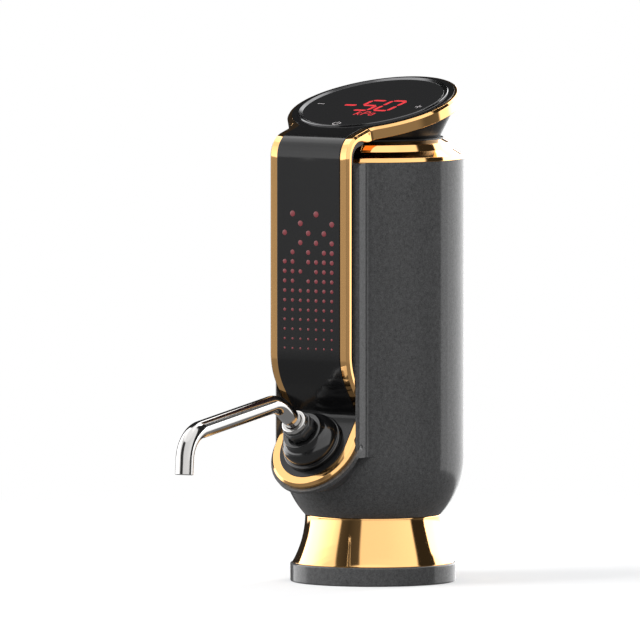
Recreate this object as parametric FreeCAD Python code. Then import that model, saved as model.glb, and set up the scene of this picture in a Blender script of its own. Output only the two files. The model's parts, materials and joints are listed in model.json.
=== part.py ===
"""Wine preservation dispenser for a bottle's neck: body, head display, front strap and swivelling spout.

Millimetres. Origin at the centre of the base ring's underside, +Z up, the spout towards -Y.
"""
import FreeCAD, Part
import math
import os

V = FreeCAD.Vector

# Clearances
SLIP = 0.05          # gap round pieces that are pushed together
RUN = 0.06           # radial gap of a running fit
GAP = 0.3            # gap between pieces that only pass each other
EASY = 1.0           # room round boards and beyond the end of a cut

# Body shell
BODY_R = 30.0
BODY_WALL = 2.0
BODY_TOP_Z = 139.7
KNEE_Z = 41.5        # the straight side ends here and turns in to the foot
FOOT_LIP = 0.2       # the foot stands proud of the skirt's waist
FLOOR_Z = 22.2
FLOOR_T = 2.0

# Front boss, and the cup under the dish
BOSS_MARGIN = 0.9    # beyond the trim, each side
BOSS_EDGE_R = 1.2
BOSS_TOP_R = 2.8
BOSS_FILLET_R = 4.0
BOSS_DROP = 4.0      # the boss ends that far below the dish's middle
CHIN_LIP_W = 1.1     # beyond the dish
CHIN_LIP_T = 1.5
CHIN_TOP_W = 0.7
CHIN_TAIL_R = 7.0
CHIN_DEPTH = 13.5
CHIN_WALL = 1.6

# Base: ring and flared skirt
RING_R = 27.3
RING_H = 6.2
RING_EDGE_R = 0.5
RING_SPIGOT_H = 2.0
SKIRT_FOOT_R = 26.7
SKIRT_MIDDLE_R = 23.5
SKIRT_MIDDLE_Z = 14.0
SKIRT_WAIST_R = 22.4
SKIRT_WALL = 1.4

# Bottle neck socket
NECK_R = 15.0        # the neck and its mouth ring
SEAL_WALL = 2.4
SEAL_GROOVES = 4
SEAL_GROOVE_H = 1.2
SEAL_GROOVE_DEPTH = 0.9
SOCKET_WALL = 1.8
SOCKET_CEILING = 2.0
SOCKET_FLANGE = 1.0
SOCKET_RISE = 0.8    # the socket's edge above the rest plane
GASKET_T = 2.0
STRAW_R = 3.0
STRAW_PORT_WALL = 1.2
STRAW_FLANGE_W = 1.0
STRAW_DEPTH = 7.0

# Head: a round display that slopes down to the front
HEAD_RISE = 18.3     # from the body's top to the middle of the display
HEAD_TILT = 16.0
HEAD_INSET = 1.2     # the rim's radius is that much less than the body's
HEAD_RIM_W = 1.6
HEAD_RIM_H = 4.3
LENS_MARGIN = 2.7    # black border between lens and rim
LENS_RING_W = 0.6
LENS_RING_PROUD = 0.05
HEAD_LIP_W = 1.1
HEAD_LIP_H = 0.5
HEAD_FLARE = 0.5     # radius gained per height
HEAD_WALL = 3.5
HEAD_SCREW_ANGLES = (30.0, 90.0, 150.0)

# Gold shoulder between body and head: inset from the body's radius, and height above it
SHOULDER_STEPS = ((0.4, 1.4), (3.5, 3.3), (4.7, 5.5), (6.9, 6.6))
SHOULDER_LIP = 0.5   # its bore is that much wider than the head's
SHOULDER_SPIGOT_H = 4.0
SHOULDER_SPIGOT_WALL = 1.6

# Strap: front panel, gold trim and carrier share one side curve from the display to the dish
PANEL_T = 1.5
PANEL_HALF_W = 12.65
TRIM_W = 3.25
TRIM_PROUD = 0.1
TRIM_DEPTH = 2.3
TRIM_BEVEL = 0.8
BEND_R = 8.0         # from the display plane down to the face
STRAP_KNEE_Z = 77.0
STRAP_KNEE_R = 20.0
SLOPE_TILT = 36.0    # the slope below the knee leans back that much
SLOPE_L = 10.5       # from the knee to the hollow corner above the dish
NOTCH_R = 2.0
NECK_FILLET_R = 3.5
CARRIER_BACK = 4.3
CARRIER_INSET = 0.9
DISH_TILT = 54.0

# Indicator dots: the lit columns of each row, top row first
DOT_PITCH = 3.16
DOT_DROP = 16.8      # of the top row below the body's top
DOT_TOP_D = 2.0
DOT_END_D = 0.7
DOT_COLUMNS = 7
DOT_ROWS = ("25", "37", "146", "357", "2467", "124567", "123567", "124567") + ("1234567",) * 7

# Spout: heights are distances from the dish along its normal
SPOUT_R = 3.0
SPOUT_WALL = 0.8
SPOUT_BEND_R = 10.0
SPOUT_RISE = 25.2    # from the dish to the first corner
SPOUT_STEM = 8.0     # reach of the tube under the dish
SPOUT_REACH = 71.4   # second corner in front of the dish
SPOUT_LIFT = 7.2     # and above it
TIP_REACH = 0.9      # tip in front of the second corner
TIP_DROP = 13.0
BOOT_FLANGE_R = 10.5
BOOT_FLANGE_T = 1.5
BOOT_BELL_R = 9.6
BOOT_WAIST_R = 7.4
BOOT_WAIST = 6.2
BOOT_TOP_R = 6.9
BOOT_TOP = 8.5
BOOT_BULGE = 0.95
NUT_R = 5.3
NUT_TOP = 12.2
NUT_SIDES = 8
COLLAR_R = 4.4
COLLAR_T = 1.6
COLLAR_SLEEVE_WALL = 0.9
COLLAR_SLEEVE_L = 3.0
SEAT_R = 5.0
SEAT_END = 14.0
SEAT_FLANGE_W = 1.5
ORING_W = 0.9
ORING_T = 1.8
ORING_DEPTHS = (4.0, 6.6)

# Hoses and the port block
HOSE_WALL = 0.9
NIPPLE_R = 1.5
NIPPLE_L = 3.0
CHANNEL_R = 0.9
WINE_HOSE_BEND_R = 3.5
WINE_HOSE_RUN = 1.5  # from a nipple to the corner of the hose
AIR_HOSE_BEND_R = 3.2
PORT_BLOCK_HALF = 9.0
PORT_BLOCK_H = 8.2
PORT_Z = 31.0        # height of the nipples
AIR_PORT_X = 7.0
PORT_SCREW_AT = 7.0

# Chassis
CHASSIS_Z = 40.0
CHASSIS_T = 2.0
CHASSIS_FRONT_ROOM = 10.6
CHASSIS_HEADROOM = 5.1
CHASSIS_HOOP_W = 3.5
COLUMN_INSET = 5.7
COLUMN_W = 2.5
COLUMN_D = 8.0
POST_R = 2.2
POST_INSET = 5.5
POST_ANGLES = (35.0, 145.0, 215.0, 325.0)
SCREW_R = 0.9
SCREW_L = 5.0
SCREW_HEAD_R = 1.7
SCREW_HEAD_H = 1.0
STANDOFF_R = 1.8
STANDOFF_H = 1.6

# Pump, motor and valve
LINK_L = 4.0         # between pump and valve
PUMP_R = 10.5
PUMP_H = 16.0
PUMP_WALL = 2.0
DAMPER_INSET = 1.5
DAMPER_T = 2.0
DIAPHRAGM_T = 2.0
DIAPHRAGM_STUB_R = 3.0
MOTOR_R = 9.5
MOTOR_H = 26.0
MOTOR_ROOM = 4.9     # in front of the motor
MOTOR_WALL = 0.8
SHAFT_R = 1.0
SHAFT_END = 2.0
BUSH_R = 3.0
BUSH_H = 3.0
MAGNET_T = 2.2
MAGNET_H = 16.0
ARMATURE_GAP = 0.5
ARMATURE_H = 14.0
CRANK_R = 2.6
CRANK_THROW = 0.5
CRANK_H = 5.0
VALVE_HALF = 5.5
VALVE_H = 16.0
VALVE_WALL = 3.0
PUMP_PORT_Z = 50.0
PUMP_NIPPLE_L = 1.6
PLUNGER_R = 2.2
PLUNGER_L = 5.6
SPRING_LENGTH = 4.4
SPRING_WIRE = 0.4

# Battery, boards and connector
CELL_R = 7.1
CELL_H = 50.0
HOLDER_ROOM = 0.75   # between holder and shell
HOLDER_WALL = 1.1
HOLDER_CAP_T = 2.0
CONTACT_R = 4.0
CONTACT_T = 0.5
BOARD_T = 1.6
MAIN_BOARD_HALF_W = 12.0
MAIN_BOARD_Z = 72.0
BOARD_HEADROOM = 6.6
BOARD_HOLE_INSET = 2.5
FRAME_RAIL_W = 4.0
LED_BOARD_MARGIN = 1.1
DISPLAY_BOARD_INSET = 3.5
DISPLAY_BOARD_DEPTH = 3.0
MODULE_HALF_U = 13.5
MODULE_LOW_V = -8.0
MODULE_HIGH_V = 7.0
BUZZER_R = 4.5
BUZZER_H = 4.0
SENSOR_HALF = 3.0
SENSOR_H = 2.5
SENSOR_RISE = 31.0
# Chips on the main board: place across, rise above its foot, half-width, height, thickness
CONTROLLER_CHIP = (0.0, 22.0, 3.5, 7.0, 1.0)
CHARGER_CHIP = (-4.0, 12.0, 2.0, 4.0, 1.2)
DRIVER_CHIP = (4.0, 12.0, 2.0, 4.0, 1.2)
CABLE_R = 1.0
CABLE_BEND_R = 4.0
USB_Z = 49.0
USB_HALF_W = 4.5
USB_T = 3.2
USB_L = 7.3
USB_WALL = 0.4
USB_TONGUE_T = 0.7
USB_SET_BACK = 1.2
USB_BOARD_HALF_W = 8.0
USB_BOARD_L = 12.0

# Derived sizes
INNER_R = BODY_R - BODY_WALL
FOOT_R = SKIRT_WAIST_R + FOOT_LIP
TURN_R = ((BODY_R - FOOT_R) ** 2 + (KNEE_Z - FLOOR_Z) ** 2) / (2 * (BODY_R - FOOT_R))
FLOOR_TOP = FLOOR_Z + FLOOR_T
SOCKET_BORE_R = NECK_R + SEAL_WALL
SOCKET_R = SOCKET_BORE_R + SOCKET_WALL
CEILING_TOP = FLOOR_TOP + SOCKET_CEILING
GASKET_Z = FLOOR_TOP - GASKET_T
STRAW_PORT_R = STRAW_R + STRAW_PORT_WALL
STRAW_PORT_TOP = GASKET_Z + STRAW_DEPTH + EASY
PORT_BLOCK_TOP = CEILING_TOP + PORT_BLOCK_H
HEAD_Z = BODY_TOP_Z + HEAD_RISE
HEAD_R = BODY_R - HEAD_INSET
BEZEL_R = HEAD_R - HEAD_RIM_W
LENS_R = BEZEL_R - LENS_MARGIN
LENS_RING_R = LENS_R + LENS_RING_W
HEAD_LIP_R = BODY_R - SHOULDER_STEPS[-1][0]
HEAD_FOOT_R = HEAD_LIP_R - HEAD_LIP_W
HEAD_BORE_R = HEAD_FOOT_R - HEAD_WALL
DISPLAY_BOARD_R = LENS_R - DISPLAY_BOARD_INSET
SHOULDER_BORE_R = HEAD_BORE_R + SHOULDER_LIP
SHOULDER_TOP_Z = BODY_TOP_Z + SHOULDER_STEPS[-1][1]
FACE_Y = -(HEAD_R + BEND_R)
TRIM_HALF_W = PANEL_HALF_W + TRIM_W
CARRIER_HALF_W = TRIM_HALF_W - CARRIER_INSET
BOSS_HALF_W = TRIM_HALF_W + BOSS_MARGIN
BOSS_FRONT_Y = FACE_Y + CARRIER_BACK
NOTCH_RUN = NOTCH_R * math.tan(math.radians((SLOPE_TILT + 90 - DISH_TILT) / 2))
DISH_RUN = NOTCH_RUN + SLIP + BOOT_FLANGE_R
DISH_R = TRIM_HALF_W
DISH_BORE_R = PANEL_HALF_W
CHIN_LIP_R = DISH_R + CHIN_LIP_W
CHIN_TOP_R = DISH_R + CHIN_TOP_W
DOT_TOP_Z = BODY_TOP_Z - DOT_DROP
DOT_ROW_COUNT = min(len(DOT_ROWS), 1 + int((DOT_TOP_Z - STRAP_KNEE_Z) / DOT_PITCH))
LED_BOARD_HALF_W = (DOT_COLUMNS - 1) / 2 * DOT_PITCH + LED_BOARD_MARGIN
SPOUT_BORE_R = SPOUT_R + RUN
HOSE_R = NIPPLE_R + SLIP + HOSE_WALL
CHASSIS_FLOOR = CHASSIS_Z + CHASSIS_T
CHASSIS_R = INNER_R - GAP
CHASSIS_FRONT_Y = CHASSIS_FRONT_ROOM - INNER_R
CHASSIS_TOP_Z = BODY_TOP_Z - CHASSIS_HEADROOM
COLUMN_X = CHASSIS_R - COLUMN_INSET
POST_CIRCLE_R = INNER_R - POST_INSET
MAIN_BOARD_H = CHASSIS_TOP_Z - BOARD_HEADROOM - MAIN_BOARD_Z
VALVE_X = COLUMN_X - VALVE_HALF
PUMP_X = VALVE_X - VALVE_HALF - LINK_L - PUMP_R
PUMP_Y = CHASSIS_FRONT_Y + MOTOR_R + MOTOR_ROOM
HOLDER_R = CELL_R + SLIP + HOLDER_WALL
CELL_Y = INNER_R - HOLDER_ROOM - HOLDER_R
PUMP_Z = CHASSIS_FLOOR + DAMPER_T
MOTOR_Z = PUMP_Z + PUMP_H
SHELF_Z = MOTOR_Z + SLIP
SHELF_TOP = SHELF_Z + CHASSIS_T
MOTOR_TOP = MOTOR_Z + MOTOR_H
CRANK_Z = MOTOR_Z - PUMP_WALL - GAP - CRANK_H
CAVITY_Z = PUMP_Z + PUMP_WALL
PUMP_BORE_R = PUMP_R - PUMP_WALL
BOARD_BACK_Y = CHASSIS_FRONT_Y - CHASSIS_T - STANDOFF_H
PLUNGER_Z = CHASSIS_FLOOR + VALVE_WALL
CELL_Z = SHELF_TOP + HOLDER_CAP_T + CONTACT_T


def flat(y, z):
    """A point of the middle plane."""
    return V(0, y, z)


def turn(angle):
    """Unit vector of the middle plane; 0 points back along +Y and 90 up."""
    return V(0, math.cos(math.radians(angle)), math.sin(math.radians(angle)))


UP = 90.0            # angles of the middle plane
FRONT = 180.0
HEAD_CENTRE = flat(0, HEAD_Z)
HEAD_N = turn(UP + HEAD_TILT)
DISH_N = turn(UP + DISH_TILT)
SLOPE_N = turn(FRONT + SLOPE_TILT)
KNEE_CENTRE = flat(FACE_Y + STRAP_KNEE_R, STRAP_KNEE_Z)
CREASE = KNEE_CENTRE + SLOPE_N * STRAP_KNEE_R + turn(FRONT + SLOPE_TILT + UP) * SLOPE_L
DISH_CENTRE = CREASE - turn(DISH_TILT) * DISH_RUN
BOSS_BOTTOM_Z = DISH_CENTRE.z - BOSS_DROP
SPOUT_CORNER = DISH_CENTRE + DISH_N * SPOUT_RISE
SPOUT_END_CORNER = DISH_CENTRE + V(0, -SPOUT_REACH, SPOUT_LIFT)
SEAT_TAIL = DISH_CENTRE - DISH_N * SEAT_END


# Building blocks

def outline(*steps):
    """Closed face from corner points; a pair is an arc: a point on it, then its end."""
    ends = [step[-1] if isinstance(step, tuple) else step for step in steps]
    edges = []
    for start, step, end in zip([ends[-1]] + ends[:-1], steps, ends):
        if isinstance(step, tuple):
            edges.append(Part.Arc(start, step[0], end).toShape())
        else:
            edges.append(Part.LineSegment(start, end).toShape())
    return Part.Face(Part.Wire(edges))


def arc_step(centre, radius, start, end):
    """An arc of the middle plane, from one angle to another, as a step of an outline."""
    return (centre + turn((start + end) / 2) * radius, centre + turn(end) * radius)


def spin(*points):
    """Solid of revolution from points of radius and height; a pair of points is an arc."""
    steps = []
    for point in points:
        if isinstance(point[0], tuple):
            steps.append(tuple(V(r, 0, z) for r, z in point))
        else:
            steps.append(V(point[0], 0, point[1]))
    return outline(*steps).revolve(V(0, 0, 0), V(0, 0, 1), 360)


def on_axis(solid, centre, tilt):
    """Moves a solid made about Z onto an axis of the middle plane that leans to the front."""
    solid.Placement = FreeCAD.Placement(centre, FreeCAD.Rotation(V(1, 0, 0), tilt))
    return solid


def on_dish(solid):
    return on_axis(solid, DISH_CENTRE, DISH_TILT)


def on_head(solid):
    return on_axis(solid, HEAD_CENTRE, HEAD_TILT)


def rod(radius, bottom, top, x=0.0, y=0.0):
    return Part.makeCylinder(radius, top - bottom, V(x, y, bottom))


def front_half_rod(radius, bottom, top):
    return rod(radius, bottom, top).common(box(-radius, radius, -radius, 0, bottom, top))


def ring(inner, outer, bottom, top, x=0.0, y=0.0):
    return rod(outer, bottom, top, x, y).cut(rod(inner, bottom, top, x, y))


def box(x0, x1, y0, y1, z0, z1):
    return Part.makeBox(x1 - x0, y1 - y0, z1 - z0, V(x0, y0, z0))


def pin(radius, start, way, length):
    return Part.makeCylinder(radius, length, start, way)


def on_circle(radius, angles):
    """Places on a circle about the Z axis."""
    turns = [math.radians(angle) for angle in angles]
    return [(radius * math.cos(t), radius * math.sin(t)) for t in turns]


def joined(first, *others):
    return first.fuse(list(others)).removeSplitter()


def both_sides(half):
    """A right half with its mirror image."""
    return joined(half, half.mirror(V(0, 0, 0), V(1, 0, 0)))


def bent_rod(points, radius, bend):
    """Round rod along straight runs that tangent arcs join."""
    edges = []
    start = points[0]
    for before, corner, after in zip(points, points[1:], points[2:]):
        come = (corner - before).normalize()
        leave = (after - corner).normalize()
        half = come.getAngle(leave) / 2
        reach = bend * math.tan(half)
        inward = (leave - come).normalize()
        middle = corner + inward * (bend / math.cos(half) - bend)
        edges.append(Part.LineSegment(start, corner - come * reach).toShape())
        edges.append(Part.Arc(corner - come * reach, middle, corner + leave * reach).toShape())
        start = corner + leave * reach
    edges.append(Part.LineSegment(start, points[-1]).toShape())
    section = Part.Wire(Part.Edge(Part.Circle(points[0], points[1] - points[0], radius)))
    return Part.Wire(edges).makePipeShell([section], True, False)


def bent_tube(points, outer, inner, bend):
    return bent_rod(points, outer, bend).cut(bent_rod(points, inner, bend))


def screw(head_at, way, length=SCREW_L):
    """Round-headed screw; its head rests at a point and its shank runs along a way."""
    head = pin(SCREW_HEAD_R, head_at - way * SCREW_HEAD_H, way, SCREW_HEAD_H)
    return joined(pin(SCREW_R, head_at, way, length), head)


# The side curve of the strap

def strap_centres():
    """Centres of the top bend, the knee and the notch."""
    bend_y = FACE_Y + BEND_R
    tilt = math.radians(HEAD_TILT)
    bend = flat(bend_y, HEAD_Z + bend_y * math.tan(tilt) - BEND_R / math.cos(tilt))
    return bend, KNEE_CENTRE, CREASE + (SLOPE_N + DISH_N) * (NOTCH_R / (1 + SLOPE_N.dot(DISH_N)))


def curve_down(offset):
    """Steps down the strap from the top bend to the dish, at an offset in front of its face."""
    bend, knee, notch = strap_centres()
    slope = FRONT + SLOPE_TILT
    dish = UP + DISH_TILT
    return [
        bend + HEAD_N * (BEND_R + offset),
        arc_step(bend, BEND_R + offset, UP + HEAD_TILT, FRONT),
        knee + turn(FRONT) * (STRAP_KNEE_R + offset),
        arc_step(knee, STRAP_KNEE_R + offset, FRONT, slope),
        notch - turn(slope) * (NOTCH_R - offset),
        arc_step(notch, NOTCH_R - offset, slope - FRONT, dish - FRONT),
        DISH_CENTRE + DISH_N * offset,
    ]


def curve_up(offset):
    """Steps up the strap from the dish to the straight face, at an offset behind its face."""
    bend, knee, notch = strap_centres()
    slope = FRONT + SLOPE_TILT
    dish = UP + DISH_TILT
    return [
        DISH_CENTRE - DISH_N * offset,
        notch - turn(dish) * (NOTCH_R + offset),
        arc_step(notch, NOTCH_R + offset, dish - FRONT, slope - FRONT),
        knee + turn(slope) * (STRAP_KNEE_R - offset),
        arc_step(knee, STRAP_KNEE_R - offset, slope, FRONT),
    ]


def widened(steps, half_w):
    """Solid that carries a side outline across the middle plane."""
    side = outline(*steps)
    side.translate(V(-half_w, 0, 0))
    return side.extrude(V(2 * half_w, 0, 0))


def strap(half_w, front, back, head_end=0.0):
    """Band along the side curve, from an offset in front of its face to one behind it."""
    bend = strap_centres()[0]
    start = HEAD_CENTRE + turn(HEAD_TILT) * head_end
    top = [
        bend + turn(FRONT) * (BEND_R - back),
        arc_step(bend, BEND_R - back, FRONT, UP + HEAD_TILT),
        start - HEAD_N * back,
        start + HEAD_N * front,
    ]
    return widened(curve_down(front) + curve_up(back) + top, half_w)


def front_space(half_w, back):
    """All that lies in front of the strap's back, above the dish, up to the body's top."""
    far = DISH_CENTRE + DISH_N * (2 * BODY_R)
    top = BODY_TOP_Z + EASY
    return widened(curve_up(back) + [flat(FACE_Y + back, top), flat(far.y, top), far], half_w)


def neck_web(half_w, radius, fillet, front, back):
    """Plate that fills the hollow corners where the strap runs into the round head."""
    centre_u = half_w + fillet
    centre_v = -math.sqrt((radius + fillet) ** 2 - centre_u ** 2)
    share = radius / (radius + fillet)
    middle = (math.atan2(-centre_v, -centre_u) + math.pi) / 2
    half = outline(
        V(0, centre_v, 0),
        V(half_w, centre_v, 0),
        (V(centre_u + fillet * math.cos(middle), centre_v + fillet * math.sin(middle), 0),
         V(centre_u * share, centre_v * share, 0)),
        V(0, centre_v * share, 0),
    )
    half.translate(V(0, 0, -back))
    return on_head(both_sides(half.extrude(V(0, 0, front + back))))


def ladle(half_w, head_r, dish_r, fillet, front, back, head_back):
    """The strap with its round head end and its round dish end."""
    return joined(
        strap(half_w, front, back),
        neck_web(half_w, head_r, fillet, front, back),
        on_head(rod(head_r, -head_back, front)),
        on_dish(front_half_rod(dish_r, -back, front)),
    )


def edge_middle(edge):
    return edge.valueAt((edge.FirstParameter + edge.LastParameter) / 2)


def bevelled_ladle(front, bevel):
    """The trim's solid, with a bevel along the outer edge of its front."""
    block, lower = [ladle(TRIM_HALF_W, HEAD_R, DISH_R, NECK_FILLET_R, level, TRIM_DEPTH, HEAD_RIM_H)
                    for level in (front, front - bevel)]
    rim = [edge for edge in block.Edges
           if abs(edge_middle(edge).x) > bevel and not lower.isInside(edge_middle(edge), SLIP / 10, True)]
    return block.makeChamfer(bevel, rim)


def trim_frame():
    outer = bevelled_ladle(TRIM_PROUD, TRIM_BEVEL)
    beyond = HEAD_RIM_H + EASY
    through = ladle(PANEL_HALF_W, BEZEL_R, DISH_BORE_R, NECK_FILLET_R + HEAD_RIM_W, EASY, beyond, beyond)
    return outer.cut(through)


def dot_rods(front, back):
    """A rod for each lit indicator dot."""
    rods = []
    for row, lit in enumerate(DOT_ROWS[:DOT_ROW_COUNT]):
        radius = (DOT_TOP_D + (DOT_END_D - DOT_TOP_D) * row / (len(DOT_ROWS) - 1)) / 2
        for column in lit:
            x = (int(column) - (DOT_COLUMNS + 1) / 2) * DOT_PITCH
            rods.append(pin(radius, V(x, front, DOT_TOP_Z - row * DOT_PITCH), V(0, 1, 0), back - front))
    return rods


def front_panel():
    sheet = ladle(PANEL_HALF_W - SLIP, BEZEL_R - SLIP, DISH_BORE_R - SLIP,
                  NECK_FILLET_R + HEAD_RIM_W + SLIP, 0, PANEL_T, PANEL_T)
    sheet = sheet.cut(on_head(rod(LENS_RING_R + SLIP, -PANEL_T - EASY, EASY)))
    sheet = sheet.cut(on_dish(rod(SEAT_R + SLIP, -PANEL_T - EASY, EASY)))
    return sheet.cut(dot_rods(FACE_Y - EASY, FACE_Y + PANEL_T + EASY))


def led_lenses():
    return Part.makeCompound(dot_rods(FACE_Y, FACE_Y + PANEL_T))


def led_board_box(room, ahead, behind):
    """Space round the indicator board: room at its edges, ahead of its front and behind it."""
    margin = DOT_PITCH / 2 + room
    dots_end_z = DOT_TOP_Z - (DOT_ROW_COUNT - 1) * DOT_PITCH
    half = LED_BOARD_HALF_W + room
    back = FACE_Y + CARRIER_BACK
    return box(-half, half, back - ahead, back + behind, dots_end_z - margin, DOT_TOP_Z + margin)


def strap_carrier():
    """Moulding behind panel and trim, with a window for the indicators."""
    start = -HEAD_R - SLIP
    made = joined(
        strap(CARRIER_HALF_W, -TRIM_DEPTH, CARRIER_BACK, start),
        strap(PANEL_HALF_W - SLIP, -PANEL_T, CARRIER_BACK, start),
        on_dish(front_half_rod(DISH_R - CARRIER_INSET, -CARRIER_BACK, -TRIM_DEPTH)),
        on_dish(front_half_rod(DISH_BORE_R - SLIP, -TRIM_DEPTH, -PANEL_T)),
    )
    made = made.cut(led_board_box(-EASY, CARRIER_BACK, 0))
    made = made.cut(on_dish(rod(SEAT_R + SLIP, -CARRIER_BACK - EASY, 0)))
    return made.cut(on_head(rod(HEAD_R + SLIP, -HEAD_RIM_H - BEND_R, EASY)))


# Body shell

def turned_side(inset, bottom, top):
    """Solid inside the body's side, whose wall lies an inset further in."""
    radius = TURN_R - inset

    def on_turn(z):
        return BODY_R - TURN_R + math.sqrt(radius ** 2 - (KNEE_Z - z) ** 2), z

    return spin((0, bottom), on_turn(bottom), (on_turn((bottom + KNEE_Z) / 2), on_turn(KNEE_Z)),
                (BODY_R - inset, top), (0, top))


def boss():
    """Raised land behind the strap, run into the round side with hollow fillets."""
    reach = BODY_R + BOSS_FILLET_R
    centre_x = BOSS_HALF_W + BOSS_FILLET_R
    centre_y = -math.sqrt(reach ** 2 - centre_x ** 2)
    middle = (math.atan2(-centre_y, -centre_x) + math.pi) / 2
    edge_x = BOSS_HALF_W - BOSS_EDGE_R
    edge_y = BOSS_FRONT_Y + BOSS_EDGE_R
    bow = BOSS_EDGE_R * math.sqrt(0.5)
    half = outline(
        V(0, centre_y * BODY_R / reach, 0),
        V(0, BOSS_FRONT_Y, 0),
        V(edge_x, BOSS_FRONT_Y, 0),
        (V(edge_x + bow, edge_y - bow, 0), V(BOSS_HALF_W, edge_y, 0)),
        V(BOSS_HALF_W, centre_y, 0),
        (V(centre_x + BOSS_FILLET_R * math.cos(middle), centre_y + BOSS_FILLET_R * math.sin(middle), 0),
         V(centre_x * BODY_R / reach, centre_y * BODY_R / reach, 0)),
    )
    half.translate(V(0, 0, BOSS_BOTTOM_Z))
    crown_z = BODY_TOP_Z - BOSS_TOP_R
    crown = widened([
        flat(0, BOSS_BOTTOM_Z), flat(BOSS_FRONT_Y, BOSS_BOTTOM_Z), flat(BOSS_FRONT_Y, crown_z),
        arc_step(flat(BOSS_FRONT_Y + BOSS_TOP_R, crown_z), BOSS_TOP_R, FRONT, UP), flat(0, BODY_TOP_Z),
    ], BODY_R)
    return both_sides(half.extrude(V(0, 0, BODY_TOP_Z - BOSS_BOTTOM_Z))).common(crown)


def chin(inset):
    """Tapered cup under the dish, and its hollow when inset."""
    top = -TRIM_DEPTH - CHIN_LIP_T
    return on_dish(Part.makeCone(CHIN_TAIL_R - inset, CHIN_TOP_R - inset, CHIN_DEPTH - inset,
                                 V(0, 0, top - CHIN_DEPTH + inset), V(0, 0, 1)))


def posts():
    """Places of the chassis posts."""
    return on_circle(POST_CIRCLE_R, POST_ANGLES)


def usb_slot():
    half = USB_HALF_W + GAP
    return box(-half, half, INNER_R - EASY, BODY_R + EASY, USB_Z - GAP, USB_Z + USB_T + GAP)


def body_shell():
    lip = on_dish(rod(CHIN_LIP_R, -TRIM_DEPTH - CHIN_LIP_T, -TRIM_DEPTH))
    shell = joined(turned_side(0, FLOOR_Z, BODY_TOP_Z), boss(), lip, chin(0))
    hollows = [
        turned_side(BODY_WALL, FLOOR_TOP, BODY_TOP_Z + EASY),
        front_space(TRIM_HALF_W + SLIP, TRIM_DEPTH),
        front_space(CARRIER_HALF_W + SLIP, CARRIER_BACK),
        on_dish(front_half_rod(DISH_R + SLIP, -TRIM_DEPTH, BODY_R)),
        on_dish(front_half_rod(DISH_R - CARRIER_INSET + SLIP, -CARRIER_BACK, 0)),
        on_dish(rod(SEAT_R + SLIP, -SEAT_END - EASY, 0)),
        chin(CHIN_WALL),
        rod(SOCKET_R + SLIP, 0, FLOOR_TOP + EASY),
        led_board_box(EASY, 0, BOARD_T + BODY_WALL + EASY),
    ]
    shell = shell.cut(hollows)
    stands = [rod(POST_R, FLOOR_Z + SLIP, CHASSIS_Z, x, y).common(turned_side(SLIP, FLOOR_Z, BODY_TOP_Z))
              for x, y in posts()]
    holes = [rod(SCREW_R, CHASSIS_FLOOR - SCREW_L, CHASSIS_Z, x, y) for x, y in posts()]
    return joined(shell, *stands).cut(holes + [usb_slot()])


# Base and bottle neck socket

def skirt_side(inset):
    """Flared side of the skirt as the lower end, an arc's middle and the upper end."""
    return ((SKIRT_FOOT_R - inset, RING_H), (SKIRT_MIDDLE_R - inset, SKIRT_MIDDLE_Z),
            (SKIRT_WAIST_R - inset, FLOOR_Z))


def base_skirt():
    foot, middle, waist = skirt_side(0)
    inner_foot, inner_middle, inner_waist = skirt_side(SKIRT_WALL)
    return spin(foot, (middle, waist), inner_waist, (inner_middle, inner_foot))


def base_ring():
    inner = SOCKET_R + SLIP
    spigot_r = SKIRT_FOOT_R - SKIRT_WALL - RING_SPIGOT_H
    edge = RING_EDGE_R
    body = spin((inner, 0), (RING_R - edge, 0), (RING_R, edge), (RING_R, RING_H - edge),
                (RING_R - edge, RING_H), (inner, RING_H))
    return joined(body, ring(inner, spigot_r, RING_H, RING_H + RING_SPIGOT_H))


def air_way(bottom, top):
    return rod(CHANNEL_R, bottom, top, AIR_PORT_X, PUMP_Y)


def neck_socket():
    cup = joined(rod(SOCKET_R, SOCKET_RISE, CEILING_TOP),
                 rod(SOCKET_R + SOCKET_FLANGE, FLOOR_TOP, CEILING_TOP))
    cup = cup.cut(rod(SOCKET_BORE_R, 0, FLOOR_TOP))
    holes = [rod(SCREW_R, FLOOR_TOP, CEILING_TOP, x, y) for x, y in port_screw_places()]
    holes += [rod(STRAW_PORT_R + SLIP, FLOOR_TOP, CEILING_TOP), air_way(FLOOR_TOP, CEILING_TOP)]
    return cup.cut(holes)


def neck_seal():
    sleeve = ring(NECK_R, SOCKET_BORE_R, 0, GASKET_Z)
    pitch = GASKET_Z / (SEAL_GROOVES + 1)
    grooves = [rod(NECK_R + SEAL_GROOVE_DEPTH, (i + 1) * pitch, (i + 1) * pitch + SEAL_GROOVE_H)
               for i in range(SEAL_GROOVES)]
    return sleeve.cut(grooves)


def mouth_gasket():
    hole_r = STRAW_PORT_R + STRAW_FLANGE_W + SLIP
    return ring(hole_r, SOCKET_BORE_R, GASKET_Z, FLOOR_TOP).cut(air_way(GASKET_Z, FLOOR_TOP))


def straw_port():
    """Female fitting for the straw; its flange sits under the socket's ceiling."""
    body = joined(rod(STRAW_PORT_R, GASKET_Z, STRAW_PORT_TOP),
                  rod(STRAW_PORT_R + STRAW_FLANGE_W, GASKET_Z, FLOOR_TOP))
    straw_bore = rod(STRAW_R, GASKET_Z, GASKET_Z + STRAW_DEPTH)
    return body.cut([straw_bore, rod(CHANNEL_R, GASKET_Z, STRAW_PORT_TOP)])


def port_screw_places():
    return [(x, y) for x in (-PORT_SCREW_AT, PORT_SCREW_AT) for y in (-PORT_SCREW_AT, PORT_SCREW_AT)]


def nipple(start, way, length, bore_back):
    """Hose nipple and, apart, the channel through it and back into its block."""
    channel = pin(CHANNEL_R, start - way * bore_back, way, bore_back + length)
    return pin(NIPPLE_R, start, way, length), channel


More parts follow.
